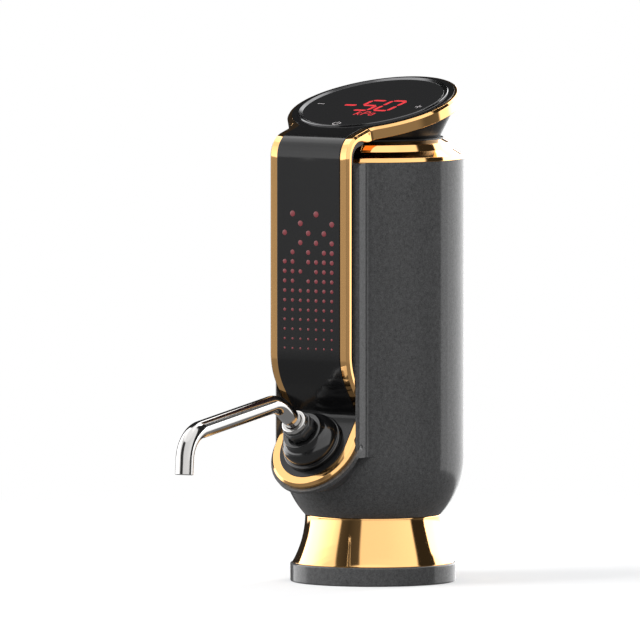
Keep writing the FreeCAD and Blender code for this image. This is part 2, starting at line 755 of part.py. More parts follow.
def port_block():
    """Joins the straw port to the wine hose and the air hose to the bottle."""
    half = PORT_BLOCK_HALF
    wine, wine_bore = nipple(V(0, -half, PORT_Z), V(0, -1, 0), NIPPLE_L, half)
    air, air_bore = nipple(V(half, PUMP_Y, PORT_Z), V(1, 0, 0), NIPPLE_L, half - AIR_PORT_X)
    block = joined(box(-half, half, -half, half, CEILING_TOP, PORT_BLOCK_TOP), wine, air)
    chamber = rod(CHANNEL_R, STRAW_PORT_TOP, PORT_Z)
    holes = [rod(SCREW_R, CEILING_TOP, PORT_BLOCK_TOP, x, y) for x, y in port_screw_places()]
    seat = rod(STRAW_PORT_R + SLIP, CEILING_TOP, STRAW_PORT_TOP)
    return block.cut(holes + [seat, chamber, wine_bore, air_bore, air_way(CEILING_TOP, PORT_Z)])


def port_screws():
    return Part.makeCompound([screw(V(x, y, PORT_BLOCK_TOP), V(0, 0, -1), PORT_BLOCK_H + SOCKET_CEILING)
                              for x, y in port_screw_places()])


# Head

def head_housing():
    """Black cone under the display, with a tilted cup that holds the lens and its board."""
    foot_z = SHOULDER_TOP_Z
    flare_z = foot_z + HEAD_LIP_H
    high_z = HEAD_Z + HEAD_R
    under = on_head(rod(2 * HEAD_R, -2 * HEAD_R, -HEAD_RIM_H))
    cone = spin((0, foot_z), (HEAD_LIP_R, foot_z), (HEAD_LIP_R, flare_z), (HEAD_FOOT_R, flare_z),
                (HEAD_FOOT_R + (high_z - flare_z) * HEAD_FLARE, high_z), (0, high_z)).common(under)
    cone = cone.common(on_head(rod(HEAD_R, -2 * HEAD_R, 0)))
    cup = on_head(rod(BEZEL_R - SLIP, -HEAD_RIM_H, -PANEL_T))
    board_floor = -PANEL_T - DISPLAY_BOARD_DEPTH
    return joined(cone, cup).cut([
        rod(HEAD_BORE_R, foot_z - EASY, high_z),
        on_head(rod(DISPLAY_BOARD_R + SLIP, board_floor, 0)),
    ] + [rod(SCREW_R, foot_z, foot_z + SCREW_L, x, y) for x, y in head_screw_places()])


def display_lens():
    return on_head(rod(LENS_R - SLIP, -PANEL_T, 0))


def display_ring():
    return on_head(ring(LENS_R, LENS_RING_R, -PANEL_T, LENS_RING_PROUD))


def display_board():
    floor = -PANEL_T - DISPLAY_BOARD_DEPTH
    return on_head(rod(DISPLAY_BOARD_R, floor, floor + BOARD_T))


def display_module():
    floor = BOARD_T - PANEL_T - DISPLAY_BOARD_DEPTH
    return on_head(box(-MODULE_HALF_U, MODULE_HALF_U, MODULE_LOW_V, MODULE_HIGH_V, floor, -PANEL_T))


def shoulder_ring():
    """Gold ring that closes the body's top and carries the head."""
    steps = [(BODY_R - inset, BODY_TOP_Z + rise) for inset, rise in SHOULDER_STEPS]
    spigot_r = INNER_R - SLIP
    spigot_z = BODY_TOP_Z - SHOULDER_SPIGOT_H
    inner_r = spigot_r - SHOULDER_SPIGOT_WALL
    body = spin((SHOULDER_BORE_R, BODY_TOP_Z), (inner_r, BODY_TOP_Z), (inner_r, spigot_z),
                (spigot_r, spigot_z), (spigot_r, BODY_TOP_Z), (BODY_R, BODY_TOP_Z), *steps,
                (SHOULDER_BORE_R, SHOULDER_TOP_Z))
    return body.cut([rod(SCREW_R, BODY_TOP_Z, SHOULDER_TOP_Z, x, y) for x, y in head_screw_places()])


def head_screw_places():
    """The head is screwed on from below, behind and at both sides."""
    return on_circle(HEAD_BORE_R + HEAD_WALL / 2, HEAD_SCREW_ANGLES)


def head_screws():
    length = SCREW_L + SHOULDER_TOP_Z - BODY_TOP_Z
    return Part.makeCompound([screw(V(x, y, BODY_TOP_Z), V(0, 0, 1), length)
                              for x, y in head_screw_places()])


# Spout

def spout_boot():
    """Rubber bell over the spout's seat."""
    bore = SPOUT_R + GAP
    inward = BOOT_BELL_R - BOOT_WAIST_R
    rise = BOOT_WAIST - BOOT_FLANGE_T
    share = BOOT_BULGE / math.hypot(inward, rise)
    bulge = (BOOT_WAIST_R + inward / 2 + rise * share, BOOT_FLANGE_T + rise / 2 + inward * share)
    return on_dish(spin(
        (bore, 0), (BOOT_FLANGE_R, 0), (BOOT_FLANGE_R, BOOT_FLANGE_T), (BOOT_BELL_R, BOOT_FLANGE_T),
        (bulge, (BOOT_WAIST_R, BOOT_WAIST)), (BOOT_TOP_R, BOOT_TOP), (bore, BOOT_TOP)))


def spout_nut():
    """Faceted nut on the boot; the collar turns in its bore."""
    angles = [360 * side / NUT_SIDES for side in range(NUT_SIDES)]
    corners = [V(x, y, BOOT_TOP) for x, y in on_circle(NUT_R, angles)]
    prism = outline(*corners).extrude(V(0, 0, NUT_TOP - BOOT_TOP))
    sleeve_r = SPOUT_BORE_R + COLLAR_SLEEVE_WALL
    bores = [rod(SPOUT_R + GAP, 0, NUT_TOP), rod(sleeve_r + RUN, NUT_TOP - COLLAR_SLEEVE_L - GAP, NUT_TOP)]
    return on_dish(prism.cut(bores))


def spout_collar():
    """Bright ring that turns in the nut and holds the tube."""
    sleeve_r = SPOUT_BORE_R + COLLAR_SLEEVE_WALL
    collar_z = NUT_TOP + GAP
    return on_dish(joined(ring(SPOUT_BORE_R, COLLAR_R, collar_z, collar_z + COLLAR_T),
                          ring(SPOUT_BORE_R, sleeve_r, NUT_TOP - COLLAR_SLEEVE_L, collar_z)))


def spout_tube():
    """Steel tube: stem along the dish normal, long reach, tip turned down."""
    route = [
        DISH_CENTRE - DISH_N * SPOUT_STEM,
        SPOUT_CORNER,
        SPOUT_END_CORNER,
        SPOUT_END_CORNER - V(0, TIP_REACH, TIP_DROP),
    ]
    return bent_tube(route, SPOUT_R, SPOUT_R - SPOUT_WALL, SPOUT_BEND_R)


def oring_rings(room):
    return [ring(SPOUT_BORE_R + SLIP, SPOUT_R + ORING_W + room, -d - ORING_T / 2, -d + ORING_T / 2)
            for d in ORING_DEPTHS]


def spout_seat():
    """Socket that the tube's stem turns in, with its tail nipple for the wine hose."""
    flange_r = SEAT_R + SEAT_FLANGE_W
    body = joined(rod(SEAT_R, -SEAT_END, 0),
                  rod(flange_r, -CARRIER_BACK - SEAT_FLANGE_W, -CARRIER_BACK),
                  rod(NIPPLE_R, -SEAT_END - NIPPLE_L, -SEAT_END))
    bores = [rod(SPOUT_BORE_R, -SPOUT_STEM - GAP, 0), rod(CHANNEL_R, -SEAT_END - NIPPLE_L, 0)]
    return on_dish(body.cut(bores + oring_rings(0)))


def spout_orings():
    return Part.makeCompound([on_dish(one) for one in oring_rings(0)])


# Hoses

def wine_hose():
    """From the port block's front nipple to the tail of the spout seat."""
    straight = NIPPLE_L + WINE_HOSE_RUN
    route = [V(0, -PORT_BLOCK_HALF - SLIP, PORT_Z), V(0, -PORT_BLOCK_HALF - straight, PORT_Z),
             SEAT_TAIL - DISH_N * straight, SEAT_TAIL - DISH_N * SLIP]
    return bent_tube(route, HOSE_R, NIPPLE_R + SLIP, WINE_HOSE_BEND_R)


def air_hose():
    """From the valve's lower nipple down to the port block's side nipple."""
    route = [V(PORT_BLOCK_HALF + SLIP, PUMP_Y, PORT_Z), V(VALVE_X, PUMP_Y, PORT_Z),
             V(VALVE_X, PUMP_Y, CHASSIS_Z - SLIP)]
    return bent_tube(route, HOSE_R, NIPPLE_R + SLIP, AIR_HOSE_BEND_R)


def pump_hose():
    """Short link between pump and valve."""
    start = PUMP_X + PUMP_R + SLIP
    end = VALVE_X - VALVE_HALF - SLIP
    outside, inside = [pin(radius, V(start, PUMP_Y, PUMP_PORT_Z), V(1, 0, 0), end - start)
                       for radius in (HOSE_R, NIPPLE_R + SLIP)]
    return outside.cut(inside)


# Chassis

def chassis_disc(bottom):
    """Round plate that leaves room in front for the strap's carrier."""
    plate = rod(CHASSIS_R, bottom, bottom + CHASSIS_T)
    return plate.cut(box(-BODY_R, BODY_R, -BODY_R, CHASSIS_FRONT_Y - CHASSIS_T, bottom, bottom + CHASSIS_T))


def board_screw_places():
    x = MAIN_BOARD_HALF_W - BOARD_HOLE_INSET
    return [(side, z) for side in (-x, x)
            for z in (MAIN_BOARD_Z + BOARD_HOLE_INSET, MAIN_BOARD_Z + MAIN_BOARD_H - BOARD_HOLE_INSET)]


def chassis():
    """Frame inside the body: floor, shelf, two columns, top hoop and the main board's frame."""
    floor = chassis_disc(CHASSIS_Z)
    floor = floor.cut(pin(SEAT_R + EASY, SEAT_TAIL, DISH_N, BODY_R))
    shelf = chassis_disc(SHELF_Z)
    hoop = ring(CHASSIS_R - CHASSIS_HOOP_W, CHASSIS_R, CHASSIS_TOP_Z - CHASSIS_T, CHASSIS_TOP_Z)
    hoop = hoop.cut(box(-BODY_R, BODY_R, -BODY_R, CHASSIS_FRONT_Y, 0, CHASSIS_TOP_Z))
    columns = []
    for side in (-1, 1):
        x = side * (COLUMN_X + COLUMN_W / 2)
        columns.append(box(x - COLUMN_W / 2, x + COLUMN_W / 2, -COLUMN_D / 2, COLUMN_D / 2,
                           CHASSIS_Z, CHASSIS_TOP_Z))
    back = CHASSIS_FRONT_Y
    front = back - CHASSIS_T
    half = MAIN_BOARD_HALF_W
    top = MAIN_BOARD_Z + MAIN_BOARD_H
    rail = FRAME_RAIL_W
    window = box(-half + rail, half - rail, front, back, SHELF_TOP + rail, top - rail)
    frame = box(-half, half, front, back, SHELF_Z, top).cut(window)
    standoffs = [pin(STANDOFF_R, V(x, front, z), V(0, -1, 0), STANDOFF_H) for x, z in board_screw_places()]
    usb_posts = [rod(STANDOFF_R, CHASSIS_Z, USB_Z - BOARD_T, x, usb_post_y()) for x in usb_post_x()]
    made = joined(floor, shelf, hoop, *columns, frame, *standoffs, *usb_posts)
    holes = [
        rod(MOTOR_R + SLIP, SHELF_Z, SHELF_TOP, PUMP_X, PUMP_Y),
        rod(HOSE_R + GAP, CHASSIS_Z, CHASSIS_FLOOR, VALVE_X, PUMP_Y),
    ]
    holes += [rod(SCREW_R, CHASSIS_Z, CHASSIS_FLOOR, x, y) for x, y in posts()]
    holes += [pin(SCREW_R, V(x, BOARD_BACK_Y, z), V(0, 1, 0), SCREW_L - BOARD_T)
              for x, z in board_screw_places()]
    return made.cut(holes)


def chassis_screws():
    return Part.makeCompound([screw(V(x, y, CHASSIS_FLOOR), V(0, 0, -1)) for x, y in posts()])


# Pump and motor

def pump_damper():
    return rod(PUMP_R - DAMPER_INSET, CHASSIS_FLOOR, PUMP_Z, PUMP_X, PUMP_Y)


def pump_head():
    """Hollow head that the crank turns in, with its outlet nipple."""
    inside = V(PUMP_X + PUMP_R - EASY, PUMP_Y, PUMP_PORT_Z)
    tube, bore = nipple(inside, V(1, 0, 0), EASY + PUMP_NIPPLE_L, PUMP_WALL)
    body = joined(rod(PUMP_R, PUMP_Z, MOTOR_Z, PUMP_X, PUMP_Y), tube)
    cavity = rod(PUMP_BORE_R, CAVITY_Z, MOTOR_Z - PUMP_WALL, PUMP_X, PUMP_Y)
    return body.cut([cavity, bore, rod(BUSH_R + GAP, CAVITY_Z, MOTOR_Z, PUMP_X, PUMP_Y)])


def pump_diaphragm():
    stub = rod(DIAPHRAGM_STUB_R, CAVITY_Z, CRANK_Z - GAP, PUMP_X, PUMP_Y)
    return joined(rod(PUMP_BORE_R - SLIP, CAVITY_Z, CAVITY_Z + DIAPHRAGM_T, PUMP_X, PUMP_Y), stub)


def motor_can():
    can = rod(MOTOR_R, MOTOR_Z, MOTOR_TOP, PUMP_X, PUMP_Y)
    inside = rod(MOTOR_R - MOTOR_WALL, MOTOR_Z + MOTOR_WALL, MOTOR_TOP - MOTOR_WALL, PUMP_X, PUMP_Y)
    return can.cut([inside, rod(BUSH_R, MOTOR_Z, MOTOR_TOP, PUMP_X, PUMP_Y)])


def motor_magnets():
    outer = MOTOR_R - MOTOR_WALL
    middle = MOTOR_Z + MOTOR_H / 2
    shell = ring(outer - MAGNET_T, outer, middle - MAGNET_H / 2, middle + MAGNET_H / 2, PUMP_X, PUMP_Y)
    split = box(PUMP_X - EASY, PUMP_X + EASY, PUMP_Y - MOTOR_R, PUMP_Y + MOTOR_R, MOTOR_Z, MOTOR_TOP)
    return shell.cut(split)


def motor_bushes():
    return Part.makeCompound([ring(SHAFT_R + RUN, BUSH_R, z, z + BUSH_H, PUMP_X, PUMP_Y)
                              for z in (MOTOR_Z, MOTOR_TOP - BUSH_H)])


def motor_rotor():
    """Shaft, armature, commutator and the crank inside the pump head."""
    middle = MOTOR_Z + MOTOR_H / 2
    armature_r = MOTOR_R - MOTOR_WALL - MAGNET_T - ARMATURE_GAP
    return joined(
        rod(SHAFT_R, CRANK_Z, MOTOR_TOP + SHAFT_END, PUMP_X, PUMP_Y),
        rod(armature_r, middle - ARMATURE_H / 2, middle + ARMATURE_H / 2, PUMP_X, PUMP_Y),
        rod(BUSH_R, middle + ARMATURE_H / 2, MOTOR_TOP - BUSH_H - GAP, PUMP_X, PUMP_Y),
        rod(CRANK_R, CRANK_Z, CRANK_Z + CRANK_H, PUMP_X + CRANK_THROW, PUMP_Y),
    )


# Valve

def valve_body():
    """Solenoid air valve; the plunger slides up in its bore."""
    half = VALVE_HALF
    top = CHASSIS_FLOOR + VALVE_H
    plunger_bore = rod(PLUNGER_R + RUN, PLUNGER_Z, PLUNGER_Z + PLUNGER_L + SPRING_LENGTH, VALVE_X, PUMP_Y)
    inlet, inlet_bore = nipple(V(VALVE_X - half, PUMP_Y, PUMP_PORT_Z), V(-1, 0, 0),
                               PUMP_NIPPLE_L, half - PLUNGER_R)
    outlet, outlet_bore = nipple(V(VALVE_X, PUMP_Y, CHASSIS_FLOOR), V(0, 0, -1),
                                 CHASSIS_T + NIPPLE_L, VALVE_WALL)
    body = joined(box(VALVE_X - half, VALVE_X + half, PUMP_Y - half, PUMP_Y + half, CHASSIS_FLOOR, top),
                  inlet, outlet)
    return body.cut([plunger_bore, inlet_bore, outlet_bore])


def valve_plunger():
    return rod(PLUNGER_R, PLUNGER_Z, PLUNGER_Z + PLUNGER_L, VALVE_X, PUMP_Y)


def valve_spring():
    """Spring over the plunger, as the sleeve that its coils fill."""
    outer = PLUNGER_R - SLIP
    bottom = PLUNGER_Z + PLUNGER_L
    return ring(outer - 2 * SPRING_WIRE, outer, bottom, bottom + SPRING_LENGTH, VALVE_X, PUMP_Y)


# Battery, boards and connector

def battery_holder():
    """Cradle on the shelf, open to the front, with a cap at each end."""
    outer = HOLDER_R
    bottom = SHELF_TOP
    top = CELL_Z + CELL_H + CONTACT_T + HOLDER_CAP_T
    wall = ring(CELL_R + SLIP, outer, bottom, top, 0, CELL_Y)
    wall = wall.cut(box(-outer, outer, CELL_Y - outer, CELL_Y, bottom + HOLDER_CAP_T, top - HOLDER_CAP_T))
    caps = [rod(CELL_R + SLIP, bottom, bottom + HOLDER_CAP_T, 0, CELL_Y),
            rod(CELL_R + SLIP, top - HOLDER_CAP_T, top, 0, CELL_Y)]
    return joined(wall, *caps).cut(rod(MOTOR_R + GAP, bottom, MOTOR_TOP, PUMP_X, PUMP_Y))


def battery_cell():
    return rod(CELL_R, CELL_Z, CELL_Z + CELL_H, 0, CELL_Y)


def battery_contacts():
    return Part.makeCompound([rod(CONTACT_R, z, z + CONTACT_T, 0, CELL_Y)
                              for z in (CELL_Z - CONTACT_T, CELL_Z + CELL_H)])


def main_board():
    half = MAIN_BOARD_HALF_W
    board = box(-half, half, BOARD_BACK_Y - BOARD_T, BOARD_BACK_Y, MAIN_BOARD_Z, MAIN_BOARD_Z + MAIN_BOARD_H)
    return board.cut([pin(SCREW_R, V(x, BOARD_BACK_Y, z), V(0, -1, 0), BOARD_T)
                      for x, z in board_screw_places()])


def board_screws():
    front = BOARD_BACK_Y - BOARD_T
    return Part.makeCompound([screw(V(x, front, z), V(0, 1, 0)) for x, z in board_screw_places()])


def board_chips():
    """Controller, charger and motor driver on the main board."""
    front = BOARD_BACK_Y - BOARD_T
    chips = []
    for x, rise, half_w, height, thick in (CONTROLLER_CHIP, CHARGER_CHIP, DRIVER_CHIP):
        z = MAIN_BOARD_Z + rise
        chips.append(box(x - half_w, x + half_w, front - thick, front, z, z + height))
    return Part.makeCompound(chips)


def pressure_sensor():
    front = BOARD_BACK_Y - BOARD_T
    z = MAIN_BOARD_Z + SENSOR_RISE
    return box(-SENSOR_HALF, SENSOR_HALF, front - SENSOR_H, front, z, z + 2 * SENSOR_HALF)


def buzzer():
    z = MAIN_BOARD_Z + MAIN_BOARD_H - 2 * BOARD_HOLE_INSET - BUZZER_R
    return pin(BUZZER_R, V(0, BOARD_BACK_Y - BOARD_T, z), V(0, -1, 0), BUZZER_H)


def led_board():
    return led_board_box(0, 0, BOARD_T)


def display_cable():
    """Lead from the main board's top edge up to the display board."""
    y = BOARD_BACK_Y - BOARD_T / 2
    top = MAIN_BOARD_Z + MAIN_BOARD_H
    up_y = CHASSIS_FRONT_Y + 2 * CABLE_BEND_R
    tilt = math.radians(HEAD_TILT)
    board_z = HEAD_Z + up_y * math.tan(tilt) - (PANEL_T + DISPLAY_BOARD_DEPTH + CABLE_R) / math.cos(tilt)
    turn_z = top + CABLE_BEND_R + up_y - y
    return bent_rod([flat(y, top), flat(y, top + CABLE_BEND_R), flat(up_y, turn_z), flat(up_y, board_z)],
                    CABLE_R, CABLE_BEND_R)


def usb_post_x():
    return (-USB_BOARD_HALF_W + STANDOFF_R, USB_BOARD_HALF_W - STANDOFF_R)


def usb_post_y():
    return BODY_R - USB_SET_BACK - USB_L - USB_BOARD_L / 2 + STANDOFF_R


def usb_board():
    end = BODY_R - USB_SET_BACK - BODY_WALL
    half = USB_BOARD_HALF_W
    return box(-half, half, end - USB_BOARD_L, end - BODY_WALL, USB_Z - BOARD_T, USB_Z)


def usb_connector():
    """Charging socket: metal shell round a contact tongue."""
    end = BODY_R - USB_SET_BACK
    half = USB_HALF_W
    shell = box(-half, half, end - USB_L, end, USB_Z, USB_Z + USB_T)
    hollow = box(-half + USB_WALL, half - USB_WALL, end - USB_L + USB_WALL, end,
                 USB_Z + USB_WALL, USB_Z + USB_T - USB_WALL)
    low = USB_Z + (USB_T - USB_TONGUE_T) / 2
    tongue = box(-half / 2, half / 2, end - USB_L, end - 2 * USB_WALL, low, low + USB_TONGUE_T)
    return joined(shell.cut(hollow), tongue)


NODES = (
    body_shell, base_ring, base_skirt, neck_socket, neck_seal, mouth_gasket, straw_port,
    port_block, port_screws,
    trim_frame, front_panel, led_lenses, strap_carrier, led_board,
    head_housing, display_lens, display_ring, display_board, display_module, shoulder_ring, head_screws,
    spout_boot, spout_nut, spout_collar, spout_tube, spout_seat, spout_orings,
    wine_hose, air_hose, pump_hose,
    chassis, chassis_screws, pump_damper, pump_head, pump_diaphragm, motor_can, motor_magnets, motor_bushes,
    motor_rotor, valve_body, valve_plunger, valve_spring,
    battery_holder, battery_cell, battery_contacts, main_board, board_screws, board_chips,
    pressure_sensor, buzzer, display_cable, usb_board, usb_connector,
)

os.makedirs("parts", exist_ok=True)
for make in NODES:
    shape = make()
    shape.exportStep("parts/" + make.__name__ + ".step")
    print(make.__name__, len(shape.Solids), "solids", round(shape.Volume, 1), "mm3", shape.isValid())
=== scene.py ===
import json
import math
import bmesh
import bpy
import numpy as np
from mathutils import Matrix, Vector


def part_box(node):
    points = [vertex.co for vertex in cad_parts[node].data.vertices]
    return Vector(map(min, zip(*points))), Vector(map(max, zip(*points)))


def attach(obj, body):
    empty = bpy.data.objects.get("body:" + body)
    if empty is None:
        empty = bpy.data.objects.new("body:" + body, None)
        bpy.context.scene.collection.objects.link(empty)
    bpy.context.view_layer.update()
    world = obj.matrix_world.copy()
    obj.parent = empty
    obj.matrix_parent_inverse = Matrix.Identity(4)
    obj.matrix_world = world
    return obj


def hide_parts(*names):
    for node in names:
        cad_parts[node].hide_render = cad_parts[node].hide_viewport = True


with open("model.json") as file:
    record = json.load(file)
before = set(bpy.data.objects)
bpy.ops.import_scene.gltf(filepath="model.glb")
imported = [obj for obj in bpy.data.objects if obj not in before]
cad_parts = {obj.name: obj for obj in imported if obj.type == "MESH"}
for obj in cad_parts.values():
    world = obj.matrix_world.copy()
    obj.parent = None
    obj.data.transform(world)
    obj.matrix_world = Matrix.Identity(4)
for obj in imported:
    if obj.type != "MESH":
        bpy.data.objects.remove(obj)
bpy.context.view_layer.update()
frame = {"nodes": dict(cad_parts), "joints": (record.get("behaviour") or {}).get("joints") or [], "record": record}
record = frame["record"]
print("frame loaded")

mm = 0.001
joints = {joint["name"]: joint for joint in frame["joints"]}
mounts = {mount["name"]: mount for mount in record["mounts"]}

# Places read from the frame: the dish that the spout turns in, the body, the head's rim and the skirt
dishCentre = np.array(joints["spout_swivel"]["pos_m"])
dishNormal = np.array(joints["spout_swivel"]["axis"])
dishTilt = math.atan2(-dishNormal[1], dishNormal[2])
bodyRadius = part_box("body_shell")[1].x
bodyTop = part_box("body_shell")[1].z
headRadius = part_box("trim_frame")[1].x
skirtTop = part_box("base_skirt")[1].z

# Shared by the pieces below: the head's plane and openings, the strap's side curve and widths
head = {
    "height": bodyTop + 18.3 * mm,
    "tilt": math.radians(16),
    "rimWidth": 1.6 * mm,
    "lensRadius": 23.7 * mm,
    "lensRing": 1.4 * mm,
}
strap = {
    "bendRadius": 8 * mm,
    "kneeHeight": 77 * mm,
    "kneeRadius": 20 * mm,
    "slopeTilt": math.radians(36),
    "notchRadius": 2 * mm,
    "panelHalf": 12.65 * mm,
    "trimHalf": 15.9 * mm,
    "neckFillet": 3.5 * mm,
}
faceY = -headRadius - strap["bendRadius"]
roundSteps = 256
crease = 0.05 * mm  # rounding of a corner that another piece covers


def unit(angle):
    return np.stack([np.cos(angle), np.sin(angle)], axis=-1)


def alongRun(heading, bending, length):
    # step d along a run of heading h and curvature k: (sin(h + k d) - sin h, cos h - cos(h + k d)) / k,
    # or d (cos h, sin h) where it is straight
    length = np.asarray(length, float)
    if not bending:
        return length[..., None] * unit(heading)
    angle = heading + bending * length
    return np.stack([np.sin(angle) - math.sin(heading), math.cos(heading) - np.cos(angle)], -1) / bending


def curveRuns():
    # the strap's side line as runs of one curvature each: start distance, point, heading, curvature
    tilt, bendRadius, kneeRadius = head["tilt"], strap["bendRadius"], strap["kneeRadius"]
    bendY = faceY + bendRadius
    bend = np.array([bendY, head["height"] + bendY * math.tan(tilt) - bendRadius / math.cos(tilt)])
    middle = np.array([0.0, head["height"]])
    heading = math.pi + tilt
    flat = (bend + bendRadius * unit(math.pi / 2 + tilt) - middle) @ unit(heading)
    slopeHeading, dishHeading = 1.5 * math.pi + strap["slopeTilt"], math.pi + dishTilt
    turning = slopeHeading - dishHeading
    corner = strap["notchRadius"] * math.tan(turning / 2)
    kneeCentre = np.array([faceY + kneeRadius, strap["kneeHeight"]])
    kneeEnd = kneeCentre + kneeRadius * unit(math.pi + strap["slopeTilt"])
    ways = np.stack([unit(slopeHeading), unit(dishHeading)], 1)
    slope, land = np.linalg.solve(ways, dishCentre[1:] - kneeEnd)
    lengths = [
        (flat, 0),
        ((math.pi / 2 - tilt) * bendRadius, 1 / bendRadius),
        (bend[1] - strap["kneeHeight"], 0),
        (strap["slopeTilt"] * kneeRadius, 1 / kneeRadius),
        (slope - corner, 0),
        (turning * strap["notchRadius"], -1 / strap["notchRadius"]),
        (land - corner, 0),
    ]
    found, start = [], 0.0
    for length, bending in lengths:
        found.append((start, middle, heading, bending))
        middle = middle + alongRun(heading, bending, length)
        heading += bending * length
        start += length
    return found, start


runs, dishAt = curveRuns()


def sideCurve(distance):
    # point and outward normal of the side line at each distance along it
    distance = np.asarray(distance, float)
    point = np.empty(distance.shape + (2,))
    normal = np.empty_like(point)
    for start, place, heading, bending in runs:
        part = (distance >= start) | (start == 0)
        along = distance[part] - start
        point[part] = place + alongRun(heading, bending, along)
        normal[part] = unit(heading + bending * along - math.pi / 2)
    return point, normal


def onStrap(across, distance, height):
    # (across, side point at the distance + height times its normal)
    across, distance, height = np.broadcast_arrays(across, distance, height)
    point, normal = sideCurve(distance)
    return np.concatenate([across[..., None], point + normal * height[..., None]], axis=-1)


# Building blocks

def spread(first, last, count):
    return np.linspace(first, last, count)


def roundedLine(corners, closed=False, steps=5, hold=0.06 * mm):
    # corners (x, y, radius) become tangent arcs, centre + radius (cos a, sin a); a held point beside each
    # arc keeps the flats flat
    corners = [np.array(c, float) for c in corners]
    line = []
    count = len(corners)
    for i, corner in enumerate(corners):
        inner = closed or 0 < i < count - 1
        if not inner or corner[2] <= 0:
            line.append(corner[:2])
            continue
        before = corners[i - 1][:2] - corner[:2]
        after = corners[(i + 1) % count][:2] - corner[:2]
        before, after = before / np.linalg.norm(before), after / np.linalg.norm(after)
        half = math.acos(np.clip(before @ after, -1, 1)) / 2
        reach = corner[2] / math.tan(half)
        inward = (before + after) / np.linalg.norm(before + after)
        centre = corner[:2] + inward * corner[2] / math.sin(half)
        first, last = corner[:2] + before * reach - centre, corner[:2] + after * reach - centre
        swing = math.atan2(first[0] * last[1] - first[1] * last[0], first @ last)
        start = math.atan2(first[1], first[0])
        line.append(corner[:2] + before * (reach + hold))
        line.extend(centre + corner[2] * unit(spread(start, start + swing, steps + 1)))
        line.append(corner[:2] + after * (reach + hold))
    return np.array(line)


def arcThrough(first, second, third, count):
    # points of the circle through three points, from the first to the third: centre + radius (cos a, sin a)
    a, b, c = (np.asarray(p, float) for p in (first, second, third))
    chords = np.array([b - a, c - b]) * 2
    centre = np.linalg.solve(chords, np.array([b @ b - a @ a, c @ c - b @ b]))
    start, end = a - centre, c - centre
    startAngle = math.atan2(start[1], start[0])
    swing = math.atan2(start[0] * end[1] - start[1] * end[0], start @ end)
    return centre + np.linalg.norm(start) * unit(spread(startAngle, startAngle + swing, count))


def gridFaces(rows, columns, wrapRows, wrapColumns):
    # quads of a grid whose point (i, j) has number i * columns + j
    i = np.arange(rows if wrapRows else rows - 1)[:, None]
    j = np.arange(columns if wrapColumns else columns - 1)[None, :]
    i2, j2 = (i + 1) % rows, (j + 1) % columns
    quads = np.stack([i * columns + j, i * columns + j2, i2 * columns + j2, i2 * columns + j], axis=-1)
    return quads.reshape(-1, 4)


def linked(name, data):
    made = bpy.data.objects.new(name, data)
    bpy.context.scene.collection.objects.link(made)
    return made


def riding(name, mesh, body, slotName, replaces=(), material=None):
    # the mesh as a piece of the object: its finish (the slot's, unless one is given), its body, and the CAD nodes
    # it stands for hidden
    mesh.materials.append(material or finishes[slotName])
    made = linked(name, mesh)
    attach(made, body)
    if replaces:
        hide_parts(*replaces)
    return made


def piece(name, points, faces, body, slotName, replaces=(), material=None):
    # a smooth mesh, its doubles merged and its faces outwards
    mesh = bpy.data.meshes.new(name)
    mesh.from_pydata(points.reshape(-1, 3).tolist(), [], faces.tolist())
    shape = bmesh.new()
    shape.from_mesh(mesh)
    bmesh.ops.remove_doubles(shape, verts=shape.verts, dist=1e-7)
    bmesh.ops.dissolve_degenerate(shape, edges=shape.edges, dist=1e-8)
    bmesh.ops.recalc_face_normals(shape, faces=shape.faces)
    shape.to_mesh(mesh)
    shape.free()
    mesh.shade_smooth()
    return riding(name, mesh, body, slotName, replaces, material)


def gridPiece(name, grid, body, slotName, replaces, material=None, wrapRows=True):
    faces = gridFaces(grid.shape[0], grid.shape[1], wrapRows, True)
    piece(name, grid, faces, body, slotName, replaces, material)


def ringWays(normal, steps):
    # unit directions round an axis of the middle plane, the first along X: cos a across + sin a aside
    across = np.array([1.0, 0.0, 0.0])
    aside = np.cross(normal, across)
    angle = 2 * math.pi * np.arange(steps) / steps
    return np.cos(angle)[:, None] * across + np.sin(angle)[:, None] * aside


def turned(profile, centre=(0, 0, 0), normal=(0, 0, 1), steps=roundSteps):
    # surface of revolution: centre + r (cos a across + sin a aside) + h normal, over a profile of (r, h)
    centre, normal = np.asarray(centre, float), np.asarray(normal, float)
    return centre + profile[:, None, :1] * ringWays(normal, steps) + profile[:, None, 1:] * normal


# Shader node helpers

def newGroup(name, inputs, outputs):
    tree = bpy.data.node_groups.new(name, "ShaderNodeTree")
    for label, kind, value in inputs:
        socket = tree.interface.new_socket(label, in_out="INPUT", socket_type=kind)
        socket.default_value = value
    for label, kind in outputs:
        tree.interface.new_socket(label, in_out="OUTPUT", socket_type=kind)
    return tree, tree.nodes.new("NodeGroupInput"), tree.nodes.new("NodeGroupOutput")


def node(tree, kind, settings=None, **inputs):
    # one node; inputs by socket name with _ for a space, or by i and a number, each a value or a socket
    made = tree.nodes.new(kind)
    for key, value in (settings or {}).items():
        setattr(made, key, value)
    for key, value in inputs.items():
        byNumber = key[0] == "i" and key[1:].isdigit()
        socket = made.inputs[int(key[1:]) if byNumber else key.replace("_", " ")]
        if isinstance(value, bpy.types.NodeSocket):
            tree.links.new(value, socket)
        else:
            socket.default_value = value
    return made


def maths(tree, operation, first, second=0.0):
    return node(tree, "ShaderNodeMath", {"operation": operation}, i0=first, i1=second).outputs[0]


def objectPlace(tree):
    return node(tree, "ShaderNodeTexCoord").outputs["Object"]


speckleMix = {"fine": 0.65, "coarse": 0.35, "coarseScale": 0.31}


